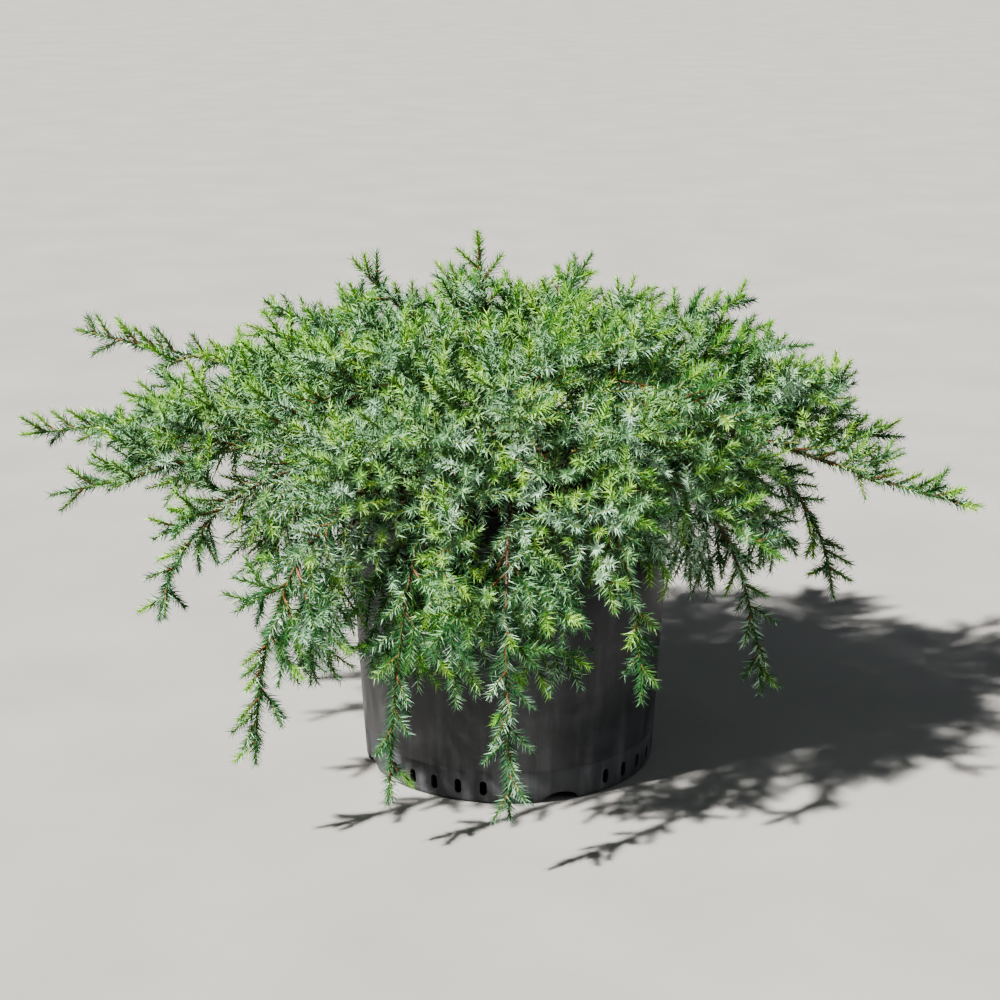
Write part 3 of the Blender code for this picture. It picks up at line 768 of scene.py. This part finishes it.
def stepped(nodes, given, step):
    """The given lines as curves with a point at every step."""
    curve = nodes.geometry("MeshToCurve", {0: given["Geometry"]})
    return nodes.geometry("ResampleCurve", {"Curve": curve, "Length": step}, mode="LENGTH")


def jitter(nodes, given, amount, salt):
    """A random number from -amount to +amount for each element, by the tree's seed and its own salt."""
    inputs = {2: nodes.times(amount, -1.0), 3: amount, 8: nodes.plus(given["Seed"], float(salt))}
    return nodes.add("FunctionNodeRandomValue", inputs, data_type="FLOAT")[1]


def needle_tree():
    """Whorls of three needles along lines. Points carry lean, size, step and tint."""
    inputs = {
        "Needle Length": NEEDLE_LENGTH,
        "Needle Width": NEEDLE_WIDTH,
        "Thinness": NEEDLE_THINNESS,
        "Length Jitter": 0.16,
        "Lean Jitter": math.radians(13),
        "Roll Jitter": math.radians(22),
        "Twist Jitter": math.radians(75),
        "Seed": SEED,
    }
    for n in range(TINTS):
        inputs |= {f"Needle {n + 1}": "Material", f"Bloom {n + 1}": "Material"}
    nodes, given = new_shape("needle whorls", inputs)
    curve = stepped(nodes, given, nodes.attribute("step"))
    points = nodes.add("GeometryNodeCurveToPoints", {0: curve}, mode="EVALUATED")
    whorls = nodes.store(points["Points"], "frame", points["Rotation"], "QUATERNION")
    whorls = nodes.store(whorls, "whorl", nodes.geometry("InputIndex"))
    three = nodes.add("GeometryNodeDuplicateElements", {0: whorls, "Amount": 3}, domain="POINT")
    roll = nodes.times(nodes.attribute("whorl"), math.pi / 3)
    roll = nodes.plus(roll, nodes.times(three["Duplicate Index"], 2 * math.pi / 3))
    roll = nodes.plus(roll, jitter(nodes, given, given["Roll Jitter"], 0))
    lean = nodes.plus(nodes.attribute("lean"), jitter(nodes, given, given["Lean Jitter"], 1))
    twist = jitter(nodes, given, given["Twist Jitter"], 8)
    rotation = nodes.attribute("frame", "QUATERNION")
    for turn in (nodes.combine(lean, 0.0, roll), nodes.combine(0.0, 0.0, twist)):
        turned = {"Rotation": rotation, "Rotate By": nodes.turn(turn)}
        rotation = nodes.add("FunctionNodeRotateRotation", turned, rotation_space="LOCAL")[0]
    size = nodes.attribute("size")
    length = nodes.times(size, nodes.plus(1.0, jitter(nodes, given, given["Length Jitter"], 2)))
    placed = {"Points": three[0], "Instance": needle_shape(nodes, given), "Rotation": rotation,
              "Scale": nodes.combine(size, size, length)}
    return end_shape(nodes, nodes.geometry("InstanceOnPoints", placed), needle_finishes(nodes, given))


def needle_shape(nodes, given):
    """An awl with three sides, its foot at the origin, its flat pale side towards +Y."""
    cone = {"Vertices": 3, "Radius Top": 0.0, "Depth": given["Needle Length"],
            "Radius Bottom": nodes.times(given["Needle Width"], 1 / math.sqrt(3))}
    shape = nodes.geometry("MeshCone", cone)
    shape = nodes.geometry("Transform", {"Geometry": shape, "Rotation": (0.0, 0.0, math.radians(30))})
    thinner = nodes.combine(1.0, given["Thinness"], 1.0)
    shape = nodes.geometry("Transform", {"Geometry": shape, "Scale": thinner})
    facing = nodes.separate(nodes.geometry("InputNormal"))[1]
    return nodes.store(shape, "pale", nodes.math("GREATER_THAN", facing, 0.5), domain="FACE")


def needle_finishes(nodes, given):
    """(material, selection) for each tint: green all over, then the bloom on the pale side."""
    finishes = []
    for n in range(TINTS):
        mine = nodes.math("GREATER_THAN", nodes.attribute("tint"), n - 0.5)
        pale = nodes.times(mine, nodes.attribute("pale"))
        finishes.append((given[f"Needle {n + 1}"], mine if n else True))
        finishes.append((given[f"Bloom {n + 1}"], nodes.math("GREATER_THAN", pale, 0.5)))
    return finishes


def circle(nodes, sides):
    return nodes.geometry("CurvePrimitiveCircle", {"Resolution": sides, "Radius": 1.0})


def swept(nodes, curve, profile):
    """A tube with closed ends along a curve, as thick as the curve's points say."""
    tube = {"Curve": curve, "Profile Curve": profile, "Scale": nodes.attribute("thick"), "Fill Caps": True}
    return nodes.geometry("CurveToMesh", tube)


def stem_tree():
    """Plain tapering stems along lines. Points carry thick, the radius."""
    nodes, given = new_shape("stems", {"Sides": 3, "Stem": "Material"})
    curve = nodes.geometry("MeshToCurve", {0: given["Geometry"]})
    mesh = swept(nodes, curve, circle(nodes, given["Sides"]))
    return end_shape(nodes, mesh, [(given["Stem"], True)])


def bark_tree():
    """Limbs along lines with strips of bark standing proud. Points carry thick, and limb, its number."""
    inputs = {
        "Ring Step": 0.0030,
        "Sides": 8,
        "Relief": 0.14,
        "Strip Width": 0.0011,
        "Strip Length": 0.0100,
        "Knots": 0.16,
        "Bark": "Material",
    }
    nodes, given = new_shape("barked limbs", inputs)
    run = nodes.add("GeometryNodeSplineParameter")
    curve = nodes.store(stepped(nodes, given, given["Ring Step"]), "along", run["Length"])
    mesh = swept(nodes, curve, nodes.store(circle(nodes, given["Sides"]), "around", run["Factor"]))
    thick = nodes.attribute("thick")
    angle = nodes.times(nodes.attribute("around"), 2 * math.pi)
    along = nodes.plus(nodes.attribute("along"), nodes.times(nodes.attribute("limb"), LIMB_SHIFT))
    straight = nodes.combine(nodes.times(nodes.math("COSINE", angle), thick),
                             nodes.times(nodes.math("SINE", angle), thick), along)
    mesh = nodes.store(mesh, "bark", straight, "FLOAT_VECTOR")
    relief = strip_relief(nodes, nodes.attribute("bark", "FLOAT_VECTOR"), given)
    push = {0: nodes.geometry("InputNormal"), "Scale": nodes.times(thick, relief)}
    push = nodes.add("ShaderNodeVectorMath", push, operation="SCALE")[0]
    mesh = nodes.geometry("SetPosition", {"Geometry": mesh, "Offset": push})
    return end_shape(nodes, mesh, [(given["Bark"], True)])


def strip_relief(nodes, place, given):
    """How far the bark stands out, as a share of the radius: long strips and a few swellings."""
    wide = nodes.math("DIVIDE", 1.0, given["Strip Width"])
    long = nodes.math("DIVIDE", 1.0, given["Strip Length"])
    strips = nodes.noise(nodes.stretched(place, nodes.combine(wide, wide, long)), 1.0, 2.0)
    strips = nodes.mapped(strips, 0.36, 0.64, -0.5, 0.5)
    knots = nodes.mapped(nodes.noise(place, 75.0, 1.0), 0.3, 0.75, -0.5, 0.8)
    return nodes.plus(nodes.times(strips, given["Relief"]), nodes.times(knots, given["Knots"]))


def chip_tree():
    """A rough soil surface and bark chips lying over it, where top says so."""
    inputs = {
        "Relief": SOIL_RELIEF,
        "Relief Scale": 210.0,
        "Chip Size": CHIP_SIZE,
        "Chips per m2": CHIP_DENSITY,
        "Seed": SEED,
        "Soil": "Material",
        "Chips": "Material",
    }
    nodes, given = new_shape("soil and chips", inputs)
    top = nodes.attribute("top")
    rough = nodes.noise(nodes.geometry("InputPosition"), given["Relief Scale"], 3.0)
    lift = nodes.times(nodes.math("SUBTRACT", rough, 0.55), given["Relief"])
    lift = nodes.combine(0.0, 0.0, nodes.times(nodes.times(lift, 2.0), top))
    soil = nodes.geometry("SetPosition", {"Geometry": given["Geometry"], "Offset": lift})
    soil = nodes.geometry("SetMaterial", {0: soil, "Material": given["Soil"]})
    spread = {"Mesh": soil, "Selection": nodes.math("GREATER_THAN", top, 0.9),
              "Density": given["Chips per m2"], "Seed": given["Seed"]}
    points = nodes.geometry("DistributePointsOnFaces", spread, distribute_method="RANDOM")
    tilt = [jitter(nodes, given, most, salt) for most, salt in ((0.5, 3), (0.5, 4), (math.pi, 5))]
    long = nodes.plus(1.0, jitter(nodes, given, 0.55, 6))
    wide = nodes.plus(0.5, jitter(nodes, given, 0.22, 7))
    ball = {"Radius": nodes.times(given["Chip Size"], 0.5), "Subdivisions": 1}
    laid = {"Points": points, "Instance": nodes.geometry("MeshIcoSphere", ball),
            "Rotation": nodes.turn(nodes.combine(*tilt)),
            "Scale": nodes.combine(long, wide, nodes.times(wide, 0.45))}
    chips = nodes.geometry("InstanceOnPoints", laid)
    chips = nodes.geometry("SetMaterial", {0: chips, "Material": given["Chips"]})
    both = nodes.tree.nodes.new("GeometryNodeJoinGeometry")
    for part in (chips, soil):
        nodes.feed(both, {0: part})
    return end_shape(nodes, both.outputs[0], [])


# Shader groups


def mix_colour(nodes, factor, a, b):
    return nodes.add("ShaderNodeMix", {0: factor, 6: a, 7: b}, data_type="RGBA")[2]


def mottle_effect():
    """Three colours in soft patches of two sizes."""
    inputs = {"Vector": "Vector", "Dark": "Color", "Base": "Color", "Light": "Color", "Scale": 50.0}
    nodes, given = new_tree("mottle", "ShaderNodeTree", inputs, {"Colour": "Color", "Height": "Float"})
    fine = nodes.noise(given["Vector"], given["Scale"], 4.0)
    broad = nodes.noise(given["Vector"], nodes.times(given["Scale"], 0.23), 2.0)
    colour = mix_colour(nodes, nodes.mapped(fine, 0.34, 0.62), given["Dark"], given["Base"])
    colour = mix_colour(nodes, nodes.mapped(broad, 0.48, 0.72), colour, given["Light"])
    return end_tree(nodes, {"Colour": colour, "Height": fine})


def dust_effect():
    """A mask of dust that is thick at the ground and thins out in patches up to a level."""
    inputs = {"Vector": "Vector", "Level": 0.1, "Patches": 30.0, "Amount": 0.6}
    nodes, given = new_tree("ground dust", "ShaderNodeTree", inputs, {"Mask": "Float"})
    height = nodes.separate(given["Vector"])[2]
    fade = nodes.math("SUBTRACT", 1.0, nodes.math("DIVIDE", height, given["Level"]), clamp=True)
    patches = nodes.noise(given["Vector"], given["Patches"], 6.0, 0.62)
    patches = nodes.mapped(nodes.plus(patches, nodes.times(fade, 0.34)), 0.50, 0.86)
    mask = nodes.math("MULTIPLY", nodes.times(patches, fade), given["Amount"], clamp=True)
    return end_tree(nodes, {"Mask": mask})


def streak_effect():
    """Fibres or runs stretched along one direction of the given place, as a mask and a height."""
    inputs = {"Vector": "Vector", "Across": 900.0, "Along": 60.0}
    nodes, given = new_tree("streaks", "ShaderNodeTree", inputs, {"Mask": "Float", "Height": "Float"})
    scale = nodes.combine(given["Across"], given["Across"], given["Along"])
    height = nodes.noise(nodes.stretched(given["Vector"], scale), 1.0, 4.0)
    return end_tree(nodes, {"Mask": nodes.mapped(height, 0.44, 0.62), "Height": height})


# Materials


def new_material(name, roughness, specular):
    """A material, its node adder and its shader."""
    material = bpy.data.materials.new(name)
    material.use_nodes = True
    nodes = Nodes(material.node_tree)
    shader = material.node_tree.nodes["Principled BSDF"]
    nodes.feed(shader, {"Roughness": roughness, "Specular IOR Level": specular})
    return material, nodes, shader


def effect(nodes, name, inputs):
    """The outputs of a shader group of that name."""
    return nodes.add("ShaderNodeGroup", inputs, node_tree=bpy.data.node_groups[name])


def object_place(nodes):
    return nodes.add("ShaderNodeTexCoord")["Object"]


def bumped(nodes, shader, height, strength, distance):
    bump = nodes.add("ShaderNodeBump", {"Height": height, "Strength": strength, "Distance": distance})
    nodes.feed(shader, {"Normal": bump[0]})


def opaque(colour):
    return (*colour, 1.0)


def mottled(nodes, look, place):
    """The mottle group's outputs in the colours of a look."""
    dark, base, light, scale = LOOKS[look]
    inputs = {"Dark": opaque(dark), "Base": opaque(base), "Light": opaque(light)}
    return effect(nodes, "mottle", inputs | {"Vector": place, "Scale": scale})


def mottled_material(name):
    """A material in mottled colours, with streaks over them and a bump where its finish says so."""
    finish = FINISHES[name]
    material, nodes, shader = new_material(name, *finish["surface"])
    if name == "juniper_bark":
        place = nodes.add("ShaderNodeAttribute", attribute_name="bark")["Vector"]
    else:
        place = object_place(nodes)
    ground = mottled(nodes, name, place)
    colour, height = ground["Colour"], ground["Height"]
    if "streaks" in finish:
        across, along, share, streak_colour = finish["streaks"]
        streaks = effect(nodes, "streaks", {"Vector": place, "Across": across, "Along": along})
        colour = mix_colour(nodes, nodes.times(streaks["Mask"], share), colour, opaque(streak_colour))
        height = streaks["Height"]
    nodes.feed(shader, {"Base Color": colour})
    if "bump" in finish:
        bumped(nodes, shader, height, *finish["bump"])
    return material


def pot_material():
    """Black moulded plastic with scuffs, and dust that is thickest near the ground."""
    material, nodes, shader = new_material("black_pot_plastic", 0.45, 0.45)
    place = object_place(nodes)
    plastic = mottled(nodes, "black_pot_plastic", place)
    dust = effect(nodes, "ground dust", {"Vector": place, "Level": 0.24, "Patches": 26.0, "Amount": 0.70})
    runs = effect(nodes, "streaks", {"Vector": place, "Across": 85.0, "Along": 9.0})
    dirt = nodes.times(dust["Mask"], nodes.mapped(runs["Mask"], 0.0, 1.0, 0.45, 1.0))
    colour = mix_colour(nodes, dirt, plastic["Colour"], opaque((0.150, 0.152, 0.160)))
    rough = nodes.math("ADD", nodes.times(dirt, 0.45), 0.42, clamp=True)
    nodes.feed(shader, {"Base Color": colour, "Roughness": rough})
    bumped(nodes, shader, nodes.noise(place, 900.0, 3.0), 0.25, 0.0003)
    return material


def floor_material():
    material, nodes, shader = new_material("pale_floor", 0.9, 0.2)
    patches = nodes.mapped(nodes.noise(object_place(nodes), 6.0, 3.0), 0.3, 0.7)
    nodes.feed(shader, {"Base Color": mix_colour(nodes, patches, *map(opaque, FLOOR_COLOURS))})
    return material


def needle_materials(kind):
    """The materials that the needle tree asks for, by the names of its inputs."""
    made = {}
    roughness = {"Needle": NEEDLE_ROUGHNESS[kind], "Bloom": BLOOM_ROUGHNESS}
    for n, colours in enumerate(NEEDLE_COLOURS[kind], 1):
        for part, colour in zip(roughness, colours):
            name = f"{part.lower()}_{kind}_{n}"
            material, nodes, shader = new_material(name, roughness[part], NEEDLE_SPECULAR)
            nodes.feed(shader, {"Base Color": opaque(colour)})
            made[f"{part} {n}"] = material
    return made


# Foliage pieces


def add_needles(pieces, key, line, shoot, tip_from, tint):
    """Adds a stretch of clothed stem to its piece. tip_from is how far its end is from the shoot's tip."""
    left = length_of(line) - run_along(line) + tip_from
    near_tip = np.clip(1.0 - left / TIP_RUN, 0.0, 1.0)
    rows = pieces.setdefault(key, {"lines": [], "lean": [], "size": [], "step": [], "tint": []})
    rows["lines"].append(line)
    rows["lean"].append(NEEDLE_LEAN + (TIP_LEAN - NEEDLE_LEAN) * near_tip**1.5)
    rows["size"].append(1.0 + (TIP_SIZE - 1.0) * near_tip)
    step = np.interp(shoot.light, (0.1, 0.8), WHORL_STEP) * (YOUNG_STEP if tip_from == 0.0 else 1.0)
    rows["step"].append(np.full(len(line), step))
    rows["tint"].append(np.full(len(line), float(tint)))


def rise_of(line):
    """How steeply a shoot's end points up, from 0 hanging to 1 upright."""
    ahead = line[-1] - line[-3]
    return float(np.clip(0.45 + 0.8 * ahead[2] / np.linalg.norm(ahead), 0.0, 1.0))


def area_of(shoot):
    """The part of the plant that a shoot's needles are joined with."""
    if shoot.tier in ("middle", "lower"):
        return shoot.tier + ("_front" if shoot.line[0][1] < 0 else "_back")
    return "crown"


def clothe(shoots):
    """The clothed stretches of all shoots, by (kind, area): old needles, and young ones at the tips."""
    chance = random.Random(SEED)
    pieces = {}
    for shoot in shoots:
        area = area_of(shoot)
        total = length_of(shoot.line)
        rise = rise_of(shoot.line)
        young = chance.random() < YOUNG_CHANCE[0] + YOUNG_CHANCE[1] * rise * shoot.light
        tip = min(total * 0.6, chance.uniform(*YOUNG_LENGTH)) if young else 0.0
        bare = BARE_FOOT * total if shoot.order == "side" else 0.0
        old = "silver" if chance.random() < SILVER_CHANCE[0] - SILVER_CHANCE[1] * rise else "green"
        tint = chance.randrange(TINTS)
        line = stretch(shoot.line, bare, total - tip, 0.005)
        add_needles(pieces, (old, area), line, shoot, tip, tint)
        if young:
            line = stretch(shoot.line, total - tip, total, 0.004)
            add_needles(pieces, ("fresh", area), line, shoot, 0.0, chance.randrange(TINTS))
    return pieces


def foliage_nodes(area):
    """The frame's nodes that an area's needles and twigs stand for."""
    starts = f"foliage_{area.split('_')[0]}_"
    if area == "crown":
        starts = (starts, "foliage_upper_")
    return [n for n in frame["nodes"] if n.startswith(starts)]


def finish_piece(obj, nodes):
    """Puts a finished piece on the plant's one body and the nodes it stands for."""
    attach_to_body(obj, "root")
    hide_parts(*nodes)


def make_needles(shoots):
    tree = needle_tree()
    materials = {kind: needle_materials(kind) for kind in NEEDLE_COLOURS}
    for (kind, area), rows in sorted(clothe(shoots).items()):
        lines = rows.pop("lines")
        piece = made_along(f"needles_{kind}_{area}", lines, rows, tree, materials[kind])
        finish_piece(piece, foliage_nodes(area))


def make_stems(shoots):
    """The brown older stems and the yellow-green young ones."""
    stems = {"brown": ([], []), "green": ([], [])}
    for shoot in shoots:
        total = length_of(shoot.line)
        start, brown = (total * share for share in BROWN_STEM[shoot.order])
        foot, change, tip = np.interp([start, brown, total], (0.0, total), shoot.radii)
        parts = (("brown", start, brown, (foot, change)), ("green", brown, total, (change, tip)))
        for kind, a, b, radii in parts:
            if b > a:
                line = stretch(shoot.line, a, b, STEM_STEP)
                stems[kind][0].append(line)
                stems[kind][1].append(np.interp(run_along(line) / length_of(line), (0.0, 1.0), radii))
    tree = stem_tree()
    for kind, (lines, thick) in stems.items():
        material = mottled_material(f"{kind}_stem")
        piece = made_along(f"twigs_{kind}", lines, {"thick": thick}, tree, {"Stem": material})
        piece.data.shade_smooth()
        finish_piece(piece, foliage_nodes("middle"))


# Trunk and limbs


def make_wood(boughs):
    """The trunk and the limbs with their bark; each limb runs on as its leader to the tip."""
    inputs = {"Bark": mottled_material("juniper_bark")}
    tree = bark_tree()
    points = np.array([trunk_axis(row[0]) for row in TRUNK])
    points[0] -= UP * TRUNK_SUNK
    along = np.linspace(0.0, length_of(points), 60)
    thick = np.interp(along, run_along(points), [row[3] for row in TRUNK])
    values = {"thick": [thick], "limb": [np.zeros(len(along))]}
    trunk = made_along("trunk_bark", [points_at(points, along)], values, tree, inputs | TRUNK_BARK)
    lines, thick, numbers = [], [], []
    for number, bough in enumerate(boughs):
        total = length_of(bough.line)
        clothed = length_of(bough.leader)
        line = stretch(bough.line, 0.0, total - clothed * (1 - BROWN_STEM["leader"][0]) + 0.002, 0.004)
        stops = (0.0, total - clothed, total)
        lines.append(line)
        thick.append(np.interp(run_along(line), stops, (BASE_RADIUS[bough.tier], SPLIT_RADIUS, TIP_RADIUS)))
        numbers.append(np.full(len(line), float(number)))
    limbs = made_along("limbs_bark", lines, {"thick": thick, "limb": numbers}, tree, inputs)
    limb_nodes = [n for n in frame["nodes"] if n.startswith("bough_")]
    for piece, nodes in ((trunk, ["trunk"]), (limbs, limb_nodes)):
        piece.data.shade_smooth()
        finish_piece(piece, nodes)


# Pot and soil


def outer_radius(z):
    """Radius of the outside of the pot's tapered wall."""
    return FOOT_RADIUS + (WALL_TOP_RADIUS - FOOT_RADIUS) * z / WALL_TOP


def corner_arc(x, y, radius, start, end, steps):
    """Points of a rounded corner about a centre, in degrees from outwards to up."""
    angles = np.radians(np.linspace(start, end, steps + 1))
    return [(x + radius * math.cos(a), y + radius * math.sin(a)) for a in angles]


def wall_rings():
    """The outside of the wall from its top down to the foot, with two moulded grooves."""
    points = []
    for height in sorted(RING_HEIGHTS, reverse=True):
        for step, depth in ((1, 0.0), (0.4, 1.0), (-0.4, 1.0), (-1, 0.0)):
            z = height + step * RING_HALF
            points.append((outer_radius(z) - depth * RING_DEPTH, z))
    return points


def pot_profile():
    """From the middle of the floor up the inside, over the rounded lip and down the outside."""
    lip_bottom = POT_HEIGHT - LIP_HEIGHT
    lip_arcs = POT_HEIGHT - LIP_ROUND
    half = LIP_ROUND / 2
    return [
        (0.0, WALL),
        *corner_arc(outer_radius(WALL) - WALL - FOOT_ROUND, WALL + FOOT_ROUND, FOOT_ROUND, -90, -4, 5),
        (WALL_TOP_RADIUS - WALL, WALL_TOP + WALL / 2),
        (BAND_RADIUS - WALL, BAND_BOTTOM + WALL / 2),
        *corner_arc(BAND_RADIUS - WALL + LIP_ROUND, lip_arcs, LIP_ROUND, 180, 90, 4),
        *corner_arc(LIP_RADIUS - LIP_ROUND, lip_arcs, LIP_ROUND, 90, 0, 4),
        *corner_arc(LIP_RADIUS - half, lip_bottom + half, half, 0, -90, 3),
        (BAND_RADIUS + 0.0006, lip_bottom),
        (BAND_RADIUS, lip_bottom - 0.0010),
        (BAND_RADIUS, BAND_BOTTOM + 0.0008),
        (BAND_RADIUS - 0.0006, BAND_BOTTOM - 0.0004),
        (WALL_TOP_RADIUS + 0.0004, WALL_TOP + 0.0006),
        (WALL_TOP_RADIUS - 0.0001, WALL_TOP - 0.0010),
        *wall_rings(),
        *corner_arc(FOOT_RADIUS - FOOT_ROUND, FOOT_ROUND, FOOT_ROUND, 0, -90, 5),
        (0.0, 0.0),
    ]


def turned(profile, sides):
    """A (radius, height) profile turned once round the Z axis."""
    mesh = bpy.data.meshes.new("profile")
    edges = [(i, i + 1) for i in range(len(profile) - 1)]
    mesh.from_pydata([(r, 0.0, z) for r, z in profile], edges, [])
    obj = add_object("profile", mesh)
    screw = obj.modifiers.new("turn", "SCREW")
    screw.axis = "Z"
    screw.angle = 2 * math.pi
    screw.steps = screw.render_steps = sides
    screw.use_merge_vertices = True
    screw.merge_threshold = 0.00001
    return obj


def cutter(name, shape, azimuth, radius, height, collection):
    """Places a cutting shape on the wall, with its own X axis pointing outwards."""
    mesh = bpy.data.meshes.new(name)
    shape.to_mesh(mesh)
    shape.free()
    obj = add_object(name, mesh, collection)
    turn = math.radians(azimuth)
    obj.location = (radius * math.cos(turn), radius * math.sin(turn), height)
    obj.rotation_euler = (0.0, 0.0, turn)


def slot_bar():
    """A bar through the wall whose ends above and below are round."""
    shape = bmesh.new()
    radius = SLOT_WIDTH / 2
    middle = SLOT_HEIGHT / 2 - radius
    corners = corner_arc(0.0, middle, radius, 0, 180, 6) + corner_arc(0.0, -middle, radius, 180, 360, 6)
    face = shape.faces.new([shape.verts.new((-SLOT_DEPTH / 2, y, z)) for y, z in corners])
    moved = bmesh.ops.extrude_face_region(shape, geom=[face])
    verts = [v for v in moved["geom"] if isinstance(v, bmesh.types.BMVert)]
    bmesh.ops.translate(shape, vec=(SLOT_DEPTH, 0.0, 0.0), verts=verts)
    bmesh.ops.recalc_face_normals(shape, faces=shape.faces)
    return shape


def notch_bar():
    """A flat half-round arch, open below."""
    shape = bmesh.new()
    bmesh.ops.create_cone(shape, cap_ends=True, segments=40, radius1=0.5, radius2=0.5, depth=2 * NOTCH_DEPTH)
    bmesh.ops.rotate(shape, verts=shape.verts, matrix=Matrix.Rotation(math.pi / 2, 3, "Y"))
    bmesh.ops.scale(shape, vec=(1.0, NOTCH_WIDTH, 2 * NOTCH_RISE), verts=shape.verts)
    return shape


def make_pot():
    pot = turned(pot_profile(), POT_SIDES)
    openings = bpy.data.collections.new("drain openings")
    bpy.context.scene.collection.children.link(openings)
    for n, notch in enumerate(NOTCH_AZIMUTHS):
        cutter(f"notch_{n}", notch_bar(), notch, FOOT_RADIUS, 0.0, openings)
        for m, offset in enumerate(SLOT_OFFSETS):
            at = (notch + offset, outer_radius(SLOT_MIDDLE), SLOT_MIDDLE)
            cutter(f"slot_{n}_{m}", slot_bar(), *at, openings)
    cut = pot.modifiers.new("openings", "BOOLEAN")
    cut.operand_type = "COLLECTION"
    cut.collection = openings
    cut.solver = "EXACT"
    shell = made_plain("pot_shell", pot)
    for obj in list(openings.objects):
        bpy.data.objects.remove(obj, do_unlink=True)
    bpy.data.collections.remove(openings)
    shell.data.materials.clear()
    shell.data.materials.append(pot_material())
    shell.data.shade_smooth()
    shell.data.set_sharp_from_angle(angle=math.radians(38))
    finish_piece(shell, ["pot"])


def soil_profile():
    """From the top of the soil over its edge and down the inside of the pot."""
    thick = WALL + 2 * GAP
    radii = np.linspace(0.0, BAND_RADIUS - thick, SOIL_RINGS)
    heights = np.interp(radii, (SOIL_CROWN_RADIUS, radii[-1]), (SOIL_TOP, SOIL_EDGE))
    return list(zip(radii, heights)) + [
        (radii[-1], BAND_BOTTOM + WALL / 2 + GAP),
        (WALL_TOP_RADIUS - thick, WALL_TOP + WALL / 2 + GAP),
        (outer_radius(SOIL_STEP_HEIGHT) - thick, SOIL_STEP_HEIGHT),
        (SOIL_STEP_RADIUS, SOIL_STEP_HEIGHT),
        (SOIL_STEP_RADIUS - 0.004, WALL + GAP),
        (0.0, WALL + GAP),
    ]


def make_soil():
    """The soil, with its relief and chips on the top and smoother towards the edge."""
    body = made_plain("soil_body", turned(soil_profile(), SOIL_SIDES))
    shape = bmesh.new()
    shape.from_mesh(body.data)
    bmesh.ops.recalc_face_normals(shape, faces=shape.faces)
    top = shape.verts.layers.float.new("top")
    for vert in shape.verts:
        edge = min(1.0, (BAND_RADIUS - WALL - math.hypot(vert.co.x, vert.co.y)) / 0.004)
        vert[top] = max(0.0, edge) if vert.co.z > SOIL_EDGE - GAP else 0.0
    shape.to_mesh(body.data)
    shape.free()
    materials = {"Soil": "potting_mix", "Chips": "bark_chips"}
    inputs = {key: mottled_material(name) for key, name in materials.items()}
    attach(body, chip_tree(), inputs)
    finish_piece(made_plain("soil_surface", body), ["soil"])


# Camera, floor and light


def add_floor():
    mesh = bpy.data.meshes.new("floor")
    corners = [(FLOOR_HALF * x, FLOOR_HALF * y, 0.0) for x, y in ((-1, -1), (1, -1), (1, 1), (-1, 1))]
    mesh.from_pydata(corners, [], [(0, 1, 2, 3)])
    mesh.materials.append(floor_material())
    add_object("floor", mesh)


def add_aimed(name, data, place, target):
    """An object at a place, turned towards a target."""
    obj = add_object(name, data)
    obj.location = place
    obj.rotation_euler = (Vector(target) - Vector(place)).to_track_quat("-Z", "Y").to_euler()
    return obj


def add_camera():
    data = bpy.data.cameras.new("camera")
    data.angle = FIELD
    back = Vector((0.0, -math.cos(ELEVATION), math.sin(ELEVATION)))
    bpy.context.scene.camera = add_aimed("camera", data, TARGET + back * DISTANCE, TARGET)


def add_lamp(name, kind, place, **settings):
    data = bpy.data.lights.new(name, kind)
    for key, value in settings.items():
        setattr(data, key, value)
    add_aimed(name, data, place, LIT_MIDDLE)


def add_light():
    """A sun from the left and front, as in the photo, a weak fill from the right and a backdrop."""
    sun = {"energy": 10.4, "angle": math.radians(2), "color": (1.0, 0.97, 0.92)}
    add_lamp("key", "SUN", (-1.85, -1.2, 2.45), **sun)
    disk = {"shape": "DISK", "size": 2.2, "energy": 13.0, "color": (0.90, 0.95, 1.0)}
    add_lamp("fill", "AREA", (2.6, -1.6, 1.8), **disk)
    world = bpy.data.worlds.new("studio")
    world.use_nodes = True
    nodes = Nodes(world.node_tree)
    direction = nodes.add("ShaderNodeTexCoord")["Generated"]
    strength = nodes.mapped(nodes.separate(direction)[2], *BACKDROP)
    background = world.node_tree.nodes["Background"]
    nodes.feed(background, {"Color": opaque((0.86, 0.92, 1.0)), "Strength": strength})
    bpy.context.scene.world = world
    bpy.context.scene.view_settings.look = "AgX - Medium High Contrast"


def main():
    for make_effect in (mottle_effect, dust_effect, streak_effect):
        make_effect()
    boughs = all_boughs()
    shoots = grow_crown(boughs)
    make_needles(shoots)
    make_stems(shoots)
    make_wood(boughs)
    make_pot()
    make_soil()
    add_floor()
    add_camera()
    add_light()


main()
